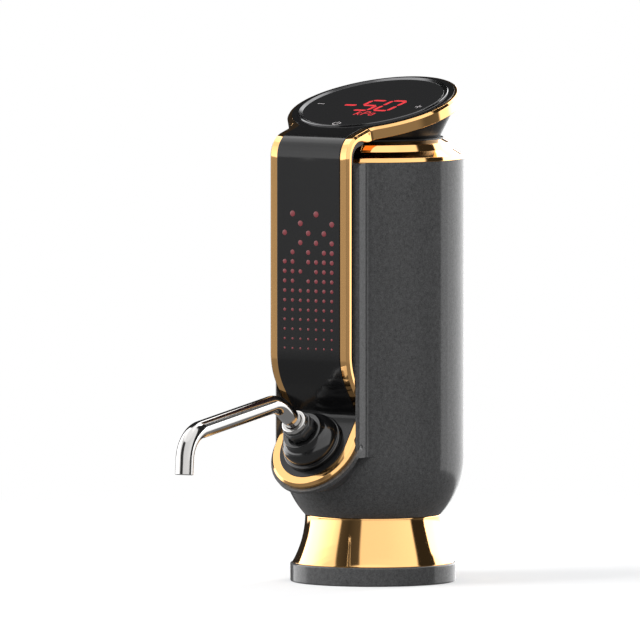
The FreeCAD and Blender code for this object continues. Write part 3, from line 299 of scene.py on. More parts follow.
def grainGroup():
    # fine speckle: brightness about 1 and a height, for paint flakes and moulded skins
    tree, into, out = newGroup("fineGrain", [
        ("Scale", "NodeSocketFloat", 2500.0), ("Contrast", "NodeSocketFloat", 0.2),
    ], [("Shade", "NodeSocketFloat"), ("Height", "NodeSocketFloat")])
    place, scale = objectPlace(tree), into.outputs["Scale"]
    fine = node(tree, "ShaderNodeTexNoise", Vector=place, Scale=scale, Detail=2.0).outputs["Fac"]
    coarse = node(tree, "ShaderNodeTexNoise", Vector=place, Detail=1.0,
                  Scale=maths(tree, "MULTIPLY", scale, speckleMix["coarseScale"])).outputs["Fac"]
    both = maths(tree, "ADD", maths(tree, "MULTIPLY", fine, speckleMix["fine"]),
                 maths(tree, "MULTIPLY", coarse, speckleMix["coarse"]))
    swing = maths(tree, "MULTIPLY", maths(tree, "SUBTRACT", both, 0.5), into.outputs["Contrast"])
    tree.links.new(maths(tree, "ADD", swing, 1.0), out.inputs["Shade"])
    tree.links.new(both, out.inputs["Height"])
    return tree


def smudgeGroup():
    # slow clouds for handling marks: a value about 1
    tree, into, out = newGroup("smudge", [
        ("Scale", "NodeSocketFloat", 60.0), ("Strength", "NodeSocketFloat", 0.2),
    ], [("Value", "NodeSocketFloat")])
    cloud = node(tree, "ShaderNodeTexNoise", Vector=objectPlace(tree), Scale=into.outputs["Scale"],
                 Detail=4.0, Distortion=0.6).outputs["Fac"]
    swing = maths(tree, "MULTIPLY", maths(tree, "SUBTRACT", cloud, 0.5), into.outputs["Strength"])
    tree.links.new(maths(tree, "ADD", swing, 1.0), out.inputs["Value"])
    return tree


grain = grainGroup()
smudge = smudgeGroup()


def useGroup(tree, group, **inputs):
    made = tree.nodes.new("ShaderNodeGroup")
    made.node_tree = group
    for key, value in inputs.items():
        made.inputs[key].default_value = value
    return made


def tinted(tree, colour, shade):
    # a colour times a value that changes over the surface
    mixed = node(tree, "ShaderNodeMix", {"data_type": "RGBA", "blend_type": "MULTIPLY"})
    mixed.inputs["Factor"].default_value = 1.0
    mixed.inputs["A"].default_value = (*colour, 1)
    tree.links.new(shade, mixed.inputs["B"])
    return mixed.outputs["Result"]


def finish(name, colour, roughness, metallic=0.0, coat=0.0, coatRoughness=0.05, grainScale=2500.0,
           contrast=0.2, bump=0.0, bumpDepth=0.02 * mm, smudgeScale=60.0, smudgeAmount=0.25, specular=0.5,
           glow=None):
    # a Principled finish with speckled colour, clouded roughness and a fine bump
    material = bpy.data.materials.new(name)
    material.use_nodes = True
    tree = material.node_tree
    shader = tree.nodes["Principled BSDF"]
    speckle = useGroup(tree, grain, Scale=grainScale, Contrast=contrast)
    marks = useGroup(tree, smudge, Scale=smudgeScale, Strength=smudgeAmount)
    tree.links.new(tinted(tree, colour, speckle.outputs["Shade"]), shader.inputs["Base Color"])
    tree.links.new(maths(tree, "MULTIPLY", marks.outputs["Value"], roughness), shader.inputs["Roughness"])
    shader.inputs["Metallic"].default_value = metallic
    shader.inputs["Coat Weight"].default_value = coat
    shader.inputs["Coat Roughness"].default_value = coatRoughness
    shader.inputs["Specular IOR Level"].default_value = specular
    if bump:
        raised = node(tree, "ShaderNodeBump", Strength=bump, Distance=bumpDepth,
                      Height=speckle.outputs["Height"])
        tree.links.new(raised.outputs["Normal"], shader.inputs["Normal"])
    if glow:
        shader.inputs["Emission Color"].default_value = (*glow, 1)
        shader.inputs["Emission Strength"].default_value = 1.0
    return material


finishes = {
    "shell_paint": finish("shellPaint", (0.071, 0.071, 0.0715), 0.45, coat=0.58, coatRoughness=0.03,
                          grainScale=2900, contrast=2.3, bump=0.12, specular=0.1),
    "gold_plate": finish("goldPlate", (0.95, 0.545, 0.215), 0.06, metallic=1.0, grainScale=900,
                         contrast=0.04, smudgeAmount=0.5),
    "panel_gloss": finish("panelGloss", (0.0065, 0.0065, 0.0068), 0.16, coat=0.2, coatRoughness=0.03,
                          contrast=0.15, smudgeAmount=0.3, specular=0.29),
    "black_plastic": finish("blackPlastic", (0.012, 0.012, 0.0125), 0.34, grainScale=3200, contrast=0.3,
                            bump=0.25, specular=0.25),
    "display_glass": finish("displayGlass", (0.014, 0.014, 0.0145), 0.09, coat=0.5, coatRoughness=0.02,
                            contrast=0.1),
    "bright_steel": finish("brightSteel", (0.52, 0.51, 0.5), 0.09, metallic=1.0, grainScale=700,
                           contrast=0.05, smudgeAmount=0.6),
    "indicator_red": finish("indicatorRed", (0.08, 0.012, 0.014), 0.3, contrast=0.3,
                            glow=(0.11, 0.018, 0.024)),
    "boot_rubber": finish("bootRubber", (0.005, 0.005, 0.0053), 0.2, contrast=0.2, bump=0.03, coat=0.5,
                          coatRoughness=0.06),
    "silicone": finish("silicone", (0.5, 0.5, 0.49), 0.45, contrast=0.1, bump=0.08),
    "white_plastic": finish("whitePlastic", (0.68, 0.68, 0.65), 0.4, contrast=0.08, bump=0.1),
    "motor_steel": finish("motorSteel", (0.5, 0.5, 0.51), 0.32, metallic=1.0, contrast=0.2),
    "magnet": finish("magnet", (0.1, 0.1, 0.105), 0.6, metallic=0.4, contrast=0.6, bump=0.3),
    "bush_bronze": finish("bushBronze", (0.5, 0.32, 0.14), 0.45, metallic=1.0, contrast=0.5, bump=0.2),
    "board": finish("board", (0.015, 0.13, 0.055), 0.35, coat=0.4, contrast=0.3),
    "chip": finish("chip", (0.02, 0.02, 0.02), 0.5, contrast=0.3, bump=0.2),
    "cell_wrap": finish("cellWrap", (0.04, 0.12, 0.36), 0.25, coat=0.3, contrast=0.1),
    "hose": finish("hose", (0.7, 0.7, 0.67), 0.25, contrast=0.05),
    "screw_steel": finish("screwSteel", (0.4, 0.4, 0.41), 0.3, metallic=1.0, contrast=0.3),
}
# a darker copy of the bright steel for the lens ring: painted shade, in place of the dark surroundings that the
# silver ring reflects
paintedShadeSteel = finish("paintedShadeSteel", (0.1, 0.1, 0.102), 0.14, metallic=1.0, grainScale=900, contrast=0.06)
litRed = finish("litRed", (0.2, 0.01, 0.012), 0.4, contrast=0.1, glow=(0.64, 0.028, 0.038))
printGrey = finish("printGrey", (0.33, 0.31, 0.31), 0.5, contrast=0.3)
nutBlack = finish("nutBlack", (0.045, 0.045, 0.046), 0.28, metallic=0.3, grainScale=1500, contrast=0.2,
                  coat=0.4, coatRoughness=0.08)

slotOf = {part["node"]: part["material_slot"] for part in record["subparts"]}
for nodeName, nodeObject in frame["nodes"].items():
    nodeObject.data.materials.clear()
    nodeObject.data.materials.append(finishes[slotOf[nodeName]])
print("finishes made")


# Base: ring and flared gold skirt

baseRing = {"top": 6.2 * mm, "edge": 0.5 * mm, "bore": 19.25 * mm, "boreEdge": 0.3 * mm,
            "spigot": 2.0 * mm, "spigotEdge": 0.2 * mm}
skirt = {"wall": 1.4 * mm, "foot": 26.7 * mm, "waist": 22.4 * mm, "middle": 23.5 * mm,
         "middleHeight": 14.0 * mm, "steps": 40}


def buildSkirt():
    # surface of revolution about Z; outer side: the arc through foot, middle and waist; inner side: the
    # same arc a wall further in
    foot, waist = (skirt["foot"], baseRing["top"]), (skirt["waist"], skirtTop)
    side = arcThrough(foot, (skirt["middle"], skirt["middleHeight"]), waist, skirt["steps"])
    inner = side[::-1] - np.array([skirt["wall"], 0])
    grid = turned(np.concatenate([side, inner]))
    gridPiece("goldSkirt", grid, "housing", "gold_plate", ["base_skirt"])


def buildBaseRing():
    # surface of revolution about Z of a rounded rectangle with a step up inside the skirt
    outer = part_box("base_ring")[1].x
    inner, edge, top, rim = baseRing["bore"], baseRing["edge"], baseRing["top"], baseRing["spigotEdge"]
    spigotRadius = skirt["foot"] - skirt["wall"] - baseRing["spigot"]
    profile = roundedLine([
        (inner, 0, baseRing["boreEdge"]), (outer, 0, edge), (outer, top, edge),
        (spigotRadius, top, crease), (spigotRadius, top + baseRing["spigot"], rim),
        (inner, top + baseRing["spigot"], rim),
    ], closed=True)
    gridPiece("baseRing", turned(profile), "housing", "shell_paint", ["base_ring"])


buildSkirt()
buildBaseRing()


# Shoulder: the stepped gold ring between body and head, its steps as inset and rise in mm

shoulder = {
    "steps": ((0.4, 1.4), (3.5, 3.3), (4.7, 5.5), (6.9, 6.6)), "edge": 0.25 * mm, "footEdge": 0.12 * mm,
    "hiddenEdge": 0.1 * mm, "bore": 19.0 * mm, "spigotDrop": 4.0 * mm, "spigotWall": 1.6 * mm,
    "shellWall": 2.05 * mm,
}


def buildShoulder():
    # surface of revolution about Z of a stepped profile with a spigot down into the shell
    bore, hidden, steps = shoulder["bore"], shoulder["hiddenEdge"], shoulder["steps"]
    spigot = bodyRadius - shoulder["shellWall"]
    low = bodyTop - shoulder["spigotDrop"]
    inner = spigot - shoulder["spigotWall"]
    corners = [(bore, bodyTop, hidden), (inner, bodyTop, hidden), (inner, low, hidden), (spigot, low, hidden),
               (spigot, bodyTop, crease), (bodyRadius, bodyTop, shoulder["footEdge"])]
    corners += [(bodyRadius - inset * mm, bodyTop + rise * mm, shoulder["edge"]) for inset, rise in steps]
    corners.append((bore, bodyTop + steps[-1][1] * mm, hidden))
    grid = turned(roundedLine(corners, closed=True))
    gridPiece("goldShoulder", grid, "housing", "gold_plate", ["shoulder_ring"])


buildShoulder()
print("base and shoulder made")


# Front strap: outline in the flat, then carried round the side curve

outline = {"headSteps": 97, "filletSteps": 15, "dishSteps": 37, "bendStep": math.radians(3),
           "straightStep": 1.5 * mm, "firstStop": 0.2 * mm}


def ladleHalf(headR, halfW, dishR, fillet, straightAt):
    # right half of the outline as (across, distance): arcs centre + radius (cos a, sin a) round the head,
    # at the neck and round the dish, with the straight side between them
    centreU = halfW + fillet
    centreS = math.sqrt((headR + fillet) ** 2 - centreU ** 2)
    lean = math.atan2(centreU, centreS)
    turnHead = spread(0, math.pi - lean, outline["headSteps"])
    headArc = np.stack([headR * np.sin(turnHead), -headR * np.cos(turnHead)], -1)
    turnFillet = spread(-math.pi / 2 - lean, -math.pi, outline["filletSteps"])[1:]
    filletArc = np.array([centreU, centreS]) + fillet * unit(turnFillet)
    straight = np.stack([np.full(len(straightAt), halfW), centreS + straightAt * (dishAt - centreS)], -1)
    dishArc = np.array([0, dishAt]) + dishR * unit(spread(0, math.pi / 2, outline["dishSteps"])[1:])
    return np.concatenate([headArc, filletArc, straight, dishArc])


def straightShares():
    # shares of the straight side, close together on its bends
    centreU = strap["trimHalf"] + strap["neckFillet"]
    begin = math.sqrt((headRadius + strap["neckFillet"]) ** 2 - centreU ** 2)
    ends = [run[0] for run in runs[1:]] + [dishAt]
    stops = []
    for (start, _, _, bending), end in zip(runs, ends):
        swept, step = (abs(bending), outline["bendStep"]) if bending else (1, outline["straightStep"])
        stops.extend(spread(start, end, 2 + int(swept * (end - start) / step))[1:])
    stops = np.array([stop for stop in stops if stop > begin + outline["firstStop"]])
    return (stops - begin) / (dishAt - begin)


shares = straightShares()


def mirrored(half):
    # closed loop from a right half whose first and last points lie on the middle plane
    left = half[-2:0:-1] * np.array([-1, 1])
    return np.concatenate([half, left])


trim = {"depth": 2.3 * mm, "rimDepth": 4.3 * mm, "deepens": 6 * mm, "proud": -0.22 * mm, "bevel": 0.8 * mm,
        "edge": 0.16 * mm, "innerEdge": 0.03 * mm}


def buildTrim():
    # on the strap: outer line + share (inner line - outer line), at the section's height; the section is a
    # bevelled bar whose depth grows round the head by a smooth step
    outer = mirrored(ladleHalf(headRadius, strap["trimHalf"], strap["trimHalf"], strap["neckFillet"], shares))
    inner = mirrored(ladleHalf(headRadius - head["rimWidth"], strap["panelHalf"], strap["panelHalf"],
                               strap["neckFillet"] + head["rimWidth"], shares))
    width = np.linalg.norm(outer - inner, axis=1)
    neckEnd = runs[1][0]
    deep = np.clip((neckEnd - outer[:, 1]) / trim["deepens"], 0, 1)
    depth = trim["depth"] + (trim["rimDepth"] - trim["depth"]) * deep * deep * (3 - 2 * deep)
    loops = []
    top, bevel, edge, innerEdge = trim["proud"], trim["bevel"], trim["edge"], trim["innerEdge"]
    for w, d in zip(width, depth):
        section = roundedLine([
            (0, -d, edge), (0, top - bevel, edge), (bevel, top, edge),
            (w, top, innerEdge), (w, -d, innerEdge),
        ], closed=True, steps=3)
        loops.append(np.stack([section[:, 0] / w, section[:, 1]], -1))
    sections = np.array(loops)
    flat = outer[:, None] + (inner - outer)[:, None] * sections[..., :1]
    grid = onStrap(flat[..., 0], flat[..., 1], sections[..., 1])
    gridPiece("goldTrim", grid, "housing", "gold_plate", ["trim_frame"])


# stops from the outline to the inner line as shares, and the drop there as shares of the edge
panel = {
    "slip": 0.05 * mm, "thickness": 1.5 * mm, "edge": 0.07 * mm, "seatRadius": 5.0 * mm, "throat": 4 * mm,
    "gathering": 8, "edgeStops": (0.0, 0.003, 0.008, 0.016, 0.03), "edgeDrops": (-1.0, -0.4, -0.1, 0.0, 0.0),
    "flatFrom": 0.08, "flatStops": 13,
}


def buildPanel():
    # on the strap: outline + share (inner line - outline), dropping at its edge; the inner line goes round
    # the lens ring, down the middle and round the spout's seat
    slip = panel["slip"]
    outer = ladleHalf(headRadius - head["rimWidth"] - slip, strap["panelHalf"] - slip,
                      strap["panelHalf"] - slip, strap["neckFillet"] + head["rimWidth"] + slip, shares)
    lensR = head["lensRadius"] + head["lensRing"] + slip
    seatR = panel["seatRadius"] + slip
    distance = np.maximum.accumulate(outer[:, 1])
    bearing = np.arctan2(outer[:, 0], -outer[:, 1])
    throat = np.searchsorted(distance, lensR + panel["throat"])
    bearing = bearing[:throat + 1] * math.pi / bearing[throat]
    inner = np.stack([np.zeros(len(outer)), distance], -1)
    inner[:throat + 1] = lensR * np.stack([np.sin(bearing), -np.cos(bearing)], -1)
    after = distance[throat:]
    pulled = (1 - spread(0, 1, len(after))) ** panel["gathering"] * (after[0] - lensR)
    inner[throat:, 1] = np.where(after < dishAt - seatR, after - pulled, after)
    low = np.flatnonzero(distance >= dishAt - seatR)
    around = spread(0, math.pi, len(low))
    inner[low] = np.stack([seatR * np.sin(around), dishAt - seatR * np.cos(around)], -1)
    across = np.concatenate([panel["edgeStops"], spread(panel["flatFrom"], 1.0, panel["flatStops"])])
    height = np.concatenate([np.array(panel["edgeDrops"]) * panel["edge"], np.zeros(panel["flatStops"])])
    flat = outer[:, None] + (inner - outer)[:, None] * across[None, :, None]
    half = onStrap(flat[..., 0], flat[..., 1], height)
    faces = gridFaces(half.shape[0], half.shape[1], False, False)
    count = half.shape[0] * half.shape[1]
    points = np.concatenate([half.reshape(-1, 3), (half * np.array([-1, 1, 1])).reshape(-1, 3)])
    bothFaces = np.concatenate([faces, faces[:, ::-1] + count])
    made = piece("glossPanel", points, bothFaces, "housing", "panel_gloss", ["front_panel"])
    frontAndUp = Vector((0, -1, 1))
    if sum(face.normal @ frontAndUp for face in made.data.polygons) < 0:
        made.data.flip_normals()
    # sharp rims, so that the wall's shading doesn't run on into the face
    shape = bmesh.new()
    shape.from_mesh(made.data)
    for side in shape.edges:
        side.smooth = not side.is_boundary
    shape.to_mesh(made.data)
    shape.free()
    solid = made.modifiers.new("thickness", "SOLIDIFY")
    solid.thickness = panel["thickness"]
    solid.offset = -1


buildTrim()
buildPanel()

# profile of a dot: share of its radius, and rise as a share of proud
dots = {
    "pitch": 3.16 * mm, "topHeight": bodyTop - 16.8 * mm, "topRadius": 1.0 * mm, "endRadius": 0.35 * mm,
    "rows": ("25", "37", "146", "357", "2467", "124567", "123567", "124567") + ("1234567",) * 7,
    "middleColumn": 4, "proud": 0.06 * mm, "sides": 16,
    "share": (0.0, 0.45, 0.8, 1.0, 1.0, 0.0), "rise": (1.0, 0.8, 0.36, 0.0, -12.0, -12.0),
}


def buildDots():
    # each dot is a low dome of radius r: (x + r q cos a, face - proud (1 - q^2), z + r q sin a), with q from
    # 0 in the middle to 1 at its rim, and a closed stem behind it
    share, rise = np.array(dots["share"])[:, None], np.array(dots["rise"])[:, None]
    points, faces, start = [], [], 0
    circle = unit(2 * math.pi * np.arange(dots["sides"]) / dots["sides"])
    for row, lit in enumerate(dots["rows"]):
        down = row / (len(dots["rows"]) - 1)
        radius = dots["topRadius"] + (dots["endRadius"] - dots["topRadius"]) * down
        for column in lit:
            x = (int(column) - dots["middleColumn"]) * dots["pitch"]
            z = dots["topHeight"] - row * dots["pitch"]
            ringX = x + radius * share * circle[:, 0]
            ringZ = z + radius * share * circle[:, 1]
            ringY = faceY - dots["proud"] * rise + np.zeros_like(ringX)
            points.append(np.stack([ringX, ringY, ringZ], -1).reshape(-1, 3))
            faces.append(gridFaces(len(share), dots["sides"], False, True) + start)
            start += len(share) * dots["sides"]
    piece("indicatorDots", np.concatenate(points), np.concatenate(faces), "housing", "indicator_red",
          ["led_lenses"])


buildDots()
print("strap made")


# Display: lens, its bright ring, digits and marks

headNormal = np.array([0, -math.sin(head["tilt"]), math.cos(head["tilt"])])
headUphill = np.array([0, math.cos(head["tilt"]), math.sin(head["tilt"])])
headCentre = np.array([0, 0, head["height"]])
lens = {"gap": 0.05 * mm, "thickness": 1.5 * mm, "edge": 0.12 * mm}
lensRing = {"proud": 0.45 * mm, "outerShare": 0.4, "crest": 0.2 * mm, "crestEdge": 0.08 * mm,
            "innerEdge": 0.04 * mm}


def onDisplay(u, v, height):
    # centre + u X + v uphill + height normal
    u, v, height = np.broadcast_arrays(u, v, height)
    return (headCentre + u[..., None] * np.array([1.0, 0, 0]) + v[..., None] * headUphill
            + height[..., None] * headNormal)


def buildLens():
    # surface of revolution about the display's normal: a flat disc with a rounded edge
    radius, depth = head["lensRadius"] - lens["gap"], lens["thickness"]
    profile = roundedLine([(0, 0, 0), (radius, 0, lens["edge"]), (radius, -depth, crease), (0, -depth, 0)])
    gridPiece("displayLens", turned(profile, headCentre, headNormal), "housing", "display_glass",
              ["display_lens"], wrapRows=False)


def buildLensRing():
    # surface of revolution about the display's normal; its top slopes in to the lens, so it shows widest at
    # the sides of the display
    inner, outer = head["lensRadius"], head["lensRadius"] + head["lensRing"]
    proud, depth = lensRing["proud"], lens["thickness"]
    profile = roundedLine([
        (inner, -depth, crease), (outer, -depth, crease), (outer, proud * lensRing["outerShare"], crease),
        (outer - lensRing["crest"], proud, lensRing["crestEdge"]), (inner, 0, lensRing["innerEdge"]),
    ], closed=True)
    # its steel is the darker copy of the bright steel: painted shade on the ring
    gridPiece("displayRing", turned(profile, headCentre, headNormal), "housing", "bright_steel",
              ["display_ring"], paintedShadeSteel)


buildLens()
buildLensRing()

# lit segments of each place and its middle in mm, across and uphill
digits = {
    "height": 10.0 * mm, "width": 5.5 * mm, "stroke": 1.25 * mm, "gap": 0.22 * mm, "lean": 0.14,
    "places": (("g", -6.8, -3.3), ("afgcd", 0.75, -3.0), ("abcdef", 8.6, -2.6)), "proud": 0.03 * mm,
    "minusShare": 0.98,
}
# ends of each segment, in half widths and quarter heights
segmentEnds = {
    "a": ((-1, 2), (1, 2)), "b": ((1, 2), (1, 0)), "c": ((1, 0), (1, -2)), "d": ((-1, -2), (1, -2)),
    "e": ((-1, 0), (-1, -2)), "f": ((-1, 2), (-1, 0)), "g": ((-1, 0), (1, 0)),
}
plate = {"depth": 0.02 * mm, "wall": 0.6, "lid": 0.97}


def bar(start, end, width, gap):
    # pointed bar of a segment: six corners round its line
    along = (end - start) / np.linalg.norm(end - start)
    side = np.array([-along[1], along[0]]) * width / 2
    first, last = start + along * gap, end - along * gap
    back, front = first + along * width / 2, last - along * width / 2
    return np.array([first, back - side, front - side, last, front + side, back + side])


def platePiece(name, loops, proud, slotName, material):
    # thin plates on the display from closed loops of (u, v): loop at -depth, loop at a share of proud, and
    # middle + share (loop - middle) at proud, with lids
    points, faces, start = [], [], 0
    for loop in loops:
        count = len(loop)
        middle = loop.mean(0)
        lid = middle + (loop - middle) * plate["lid"]
        points += [onDisplay(loop[:, 0], loop[:, 1], -plate["depth"]),
                   onDisplay(loop[:, 0], loop[:, 1], proud * plate["wall"]),
                   onDisplay(lid[:, 0], lid[:, 1], proud)]
        faces.extend((gridFaces(3, count, False, True) + start).tolist())
        faces.append([start + 2 * count + i for i in range(count)])
        faces.append([start + count - 1 - i for i in range(count)])
        start += 3 * count
    mesh = bpy.data.meshes.new(name)
    mesh.from_pydata(np.concatenate(points).tolist(), [], faces)
    shape = bmesh.new()
    shape.from_mesh(mesh)
    bmesh.ops.recalc_face_normals(shape, faces=shape.faces)
    shape.to_mesh(mesh)
    shape.free()
    riding(name, mesh, "housing", slotName, material=material)


def buildDigits():
    # plates of the lit segments, sheared by the lean
    loops = []
    for lit, centreU, centreV in digits["places"]:
        for name in lit:
            ends = np.array(segmentEnds[name]) * np.array([digits["width"] / 2, digits["height"] / 4])
            if centreU < 0:
                ends = ends * digits["minusShare"]
            loop = bar(ends[0], ends[1], digits["stroke"], digits["gap"])
            loop[:, 0] += loop[:, 1] * digits["lean"]
            loops.append(loop + np.array([centreU, centreV]) * mm)
    platePiece("displayDigits", loops, digits["proud"], "indicator_red", litRed)


def strokeLoop(line, width):
    # closed loop round a stroked line of (u, v) points: line + and - half the width times its normal
    line = np.asarray(line, float)
    ahead = np.gradient(line, axis=0)
    side = np.stack([-ahead[:, 1], ahead[:, 0]], -1)
    side = side / np.linalg.norm(side, axis=1)[:, None] * width / 2
    return np.concatenate([line + side, (line - side)[::-1]])


# foot of the unit's middle in mm, and each letter with its place in letter widths
unitText = {"height": 3.5 * mm, "foot": (4.0, -12.65), "stroke": 0.42 * mm, "lean": 0.14, "widths": 0.62,
            "letters": ((-1.55, "k"), (-0.3, "P"), (0.95, "a"))}
letterLines = {
    "k": ([(0, 0), (0, 1)], [(0, 0.3), (0.45, 0.68)], [(0.16, 0.42), (0.5, 0)]),
    "P": ([(0, 0), (0, 1)],
          [(0, 1), (0.3, 1), (0.46, 0.93), (0.52, 0.77), (0.46, 0.6), (0.3, 0.52), (0, 0.52)]),
    "a": ([(0.46, 0.68), (0.46, 0)],
          [(0.46, 0.5), (0.38, 0.64), (0.22, 0.68), (0.06, 0.56), (0.02, 0.34), (0.06, 0.12), (0.22, 0.0),
           (0.38, 0.04), (0.46, 0.18)]),
}


def buildUnit():
    # plates of the stroked letters, sheared by the lean
    loops = []
    for place, letter in unitText["letters"]:
        for line in letterLines[letter]:
            flat = np.array(line) * unitText["height"]
            flat[:, 0] += place * unitText["height"] * unitText["widths"] + flat[:, 1] * unitText["lean"]
            loops.append(strokeLoop(flat + np.array(unitText["foot"]) * mm, unitText["stroke"]))
    platePiece("displayUnit", loops, digits["proud"], "indicator_red", litRed)


# places and sizes in mm, angles in degrees
marks = {"minus": (-19.0, -3.0), "minusHalf": 1.4, "plus": (20.0, -2.5), "plusHalf": 1.3,
         "power": (0.0, -21.6), "powerRadius": 1.35, "powerArc": (125, 415), "powerBar": (0.2, 1.75),
         "stroke": 0.38 * mm, "proud": 0.018 * mm}


def buildMarks():
    # plates of the stroked touch marks: minus, plus and the power sign
    minus, plus, power = (np.array(marks[name]) for name in ("minus", "plus", "power"))
    dash, arm = np.array([marks["minusHalf"], 0]), np.array([marks["plusHalf"], 0])
    angle = np.radians(spread(*marks["powerArc"], 20))
    lines = [
        [minus - dash, minus + dash], [plus - arm, plus + arm], [plus - arm[::-1], plus + arm[::-1]],
        power + marks["powerRadius"] * unit(angle), [power + [0, rise] for rise in marks["powerBar"]],
    ]
    loops = [strokeLoop(np.array(line) * mm, marks["stroke"]) for line in lines]
    platePiece("touchMarks", loops, marks["proud"], "panel_gloss", printGrey)


buildDigits()
buildUnit()
buildMarks()
print("display made")


# Spout: boot, nut, collar and bent tube, with heights from the dish along its normal

boot = {"bore": 3.3 * mm, "flange": 10.5 * mm, "flangeTop": 1.5 * mm, "bell": 9.6 * mm,
        "bulge": (9.36 * mm, 4.25 * mm), "waist": (7.4 * mm, 6.2 * mm), "top": (6.9 * mm, 8.5 * mm),
        "edges": (0.3 * mm, 0.45 * mm, 0.5 * mm), "steps": 160, "bellSteps": 24}


def buildBoot():
    # surface of revolution about the dish's normal: flange, an arc for the bell, and a straight neck
    bell = arcThrough((boot["bell"], boot["flangeTop"]), boot["bulge"], boot["waist"], boot["bellSteps"])
    foot, lip, topEdge = boot["edges"]
    start = roundedLine([(boot["bore"], 0, 0), (boot["flange"], 0, foot),
                         (boot["flange"], boot["flangeTop"], lip), (boot["bell"], boot["flangeTop"], 0)])
    end = roundedLine([(*boot["waist"], 0), (*boot["top"], topEdge), (boot["bore"], boot["top"][1], 0)])
    profile = np.concatenate([start, bell[1:-1], end])
    gridPiece("spoutBoot", turned(profile, dishCentre, dishNormal, boot["steps"]), "housing",
              "boot_rubber", ["spout_boot"])


nut = {"across": 5.3 * mm, "sides": 8, "bottom": 8.5 * mm, "top": 12.2 * mm, "edge": 0.14 * mm,
       "bore": 4.02 * mm, "perSide": 16, "cornerShare": 0.985}


def buildNut():
    # rings of points centre + r(a) (cos a across + sin a aside) + h normal, where r(a) is the radius of a
    # regular polygon, R cos(w) / cos(a mod 2w - w) with w half a side's angle, cut off at its corners
    steps, half = nut["sides"] * nut["perSide"], math.pi / nut["sides"]
    angle = 2 * math.pi * np.arange(steps) / steps
    polygon = nut["across"] * math.cos(half) / np.cos(angle % (2 * half) - half)
    polygon = np.minimum(polygon, nut["across"] * nut["cornerShare"])
    bottom, top, edge, bore = nut["bottom"], nut["top"], nut["edge"], np.full(steps, nut["bore"])
    ways = ringWays(dishNormal, steps)
    rings = ((bore, bottom), (polygon - edge, bottom), (polygon, bottom + edge), (polygon, top - edge * 1.5),
             (polygon - edge * 0.4, top - edge * 0.5), (polygon - edge * 1.5, top), (bore, top))
    grid = np.array([dishCentre + radius[:, None] * ways + height * dishNormal for radius, height in rings])
    gridPiece("spoutNut", grid, "housing", "boot_rubber", ["spout_nut"], nutBlack)


# corners of the collar's profile, each a radius, a height and a rounding in mm
collar = {"corners": ((3.06, 9.2, 0.1), (3.96, 9.2, 0.1), (3.96, 12.5, 0.05), (4.4, 12.5, 0.25),
                      (4.4, 14.1, 0.5), (3.06, 14.1, 0.15)), "steps": 128}


def buildCollar():
    # surface of revolution about the dish's normal: a sleeve down into the nut under a rounded ring
    profile = roundedLine(np.array(collar["corners"]) * mm, closed=True)
    gridPiece("spoutCollar", turned(profile, dishCentre, dishNormal, collar["steps"]), "collar",
              "bright_steel", ["spout_collar"])


spout = {"radius": 3.0 * mm, "wall": 0.8 * mm, "bend": 10.0 * mm, "rise": 25.2 * mm, "stem": 8.0 * mm,
         "reach": (-71.4 * mm, 7.2 * mm), "lip": 0.25 * mm, "bendSteps": 28, "steps": 64}


def filletedPath(corners, radius):
    # straight runs joined by tangent arcs, in the middle plane, as points and headings
    bends = [0] + [radius] * (len(corners) - 2) + [0]
    line = roundedLine([(y, z, bend) for (y, z), bend in zip(corners, bends)], steps=spout["bendSteps"],
                       hold=0.3 * mm)
    steps = np.diff(line, axis=0)
    steps = steps / np.linalg.norm(steps, axis=1)[:, None]
    ahead = np.concatenate([steps[:1], steps[:-1] + steps[1:], steps[-1:]])
    return line, ahead / np.linalg.norm(ahead, axis=1)[:, None]


def buildSpout():
    # circle r (cos a across + sin a aside) carried along the path: outside to the tip, over its rounded lip
    # and back inside
    dish, normal = dishCentre[1:], dishNormal[1:]
    tip = np.array(mounts["spout_outlet"]["pos_m"])[1:]
    corners = [dish - normal * spout["stem"], dish + normal * spout["rise"], dish + np.array(spout["reach"]),
               tip]
    line, ahead = filletedPath(corners, spout["bend"])
    outer, inner, lip = spout["radius"], spout["radius"] - spout["wall"], spout["lip"]
    shrink = lip * (1 - math.sqrt(0.5))
    last, way = line[-1], ahead[-1]
    body = list(zip(line[1:-1], ahead[1:-1]))
    lipRings = ((lip * 1.3, outer), (lip, outer), (shrink, outer - shrink), (0, outer - lip),
                (0, inner + lip), (shrink, inner + shrink), (lip, inner))
    path = [(line[0], ahead[0], inner), (line[0], ahead[0], outer)]
    path += [(p, a, outer) for p, a in body]
    path += [(last - way * back, way, radius) for back, radius in lipRings]
    path += [(p, a, inner) for p, a in body[::-1]]
    place, heading, radius = (np.array(column) for column in zip(*path))
    circle = unit(2 * math.pi * np.arange(spout["steps"]) / spout["steps"])
    aside = np.stack([-heading[:, 1], heading[:, 0]], -1)
    x = radius[:, None] * circle[:, 0]
    yz = place[:, None] + radius[:, None, None] * circle[None, :, 1:] * aside[:, None]
    grid = np.concatenate([x[..., None], yz], -1)
    gridPiece("spoutTube", grid, "spout", "bright_steel", ["spout_tube"])


buildBoot()
buildNut()
buildCollar()
buildSpout()
print("spout made")


# Stage: camera, pale floor, soft studio panorama and lamps

camera = {"azimuth": 35.5, "elevation": 3.7, "distance": 6.0, "lens": 1022.4, "sensor": 36.0,
          "clip": (0.05, 20), "aim": (-17.5 * mm, -5.6 * mm, 85.8 * mm)}


def wayTo(azimuth, elevation):
    # direction from the object at degrees round from its front and degrees up
    azimuth, elevation = math.radians(azimuth), math.radians(elevation)
    level = math.cos(elevation)
    return Vector((math.sin(azimuth) * level, -math.cos(azimuth) * level, math.sin(elevation)))


def buildCamera():
    back = wayTo(camera["azimuth"], camera["elevation"])
    view = bpy.data.cameras.new("camera")
    view.lens = camera["lens"]
    view.sensor_width = camera["sensor"]
    view.clip_start, view.clip_end = camera["clip"]
    made = linked("camera", view)
    made.location = Vector(camera["aim"]) + back * camera["distance"]
    made.rotation_euler = back.to_track_quat("Z", "Y").to_euler()
    bpy.context.scene.camera = made


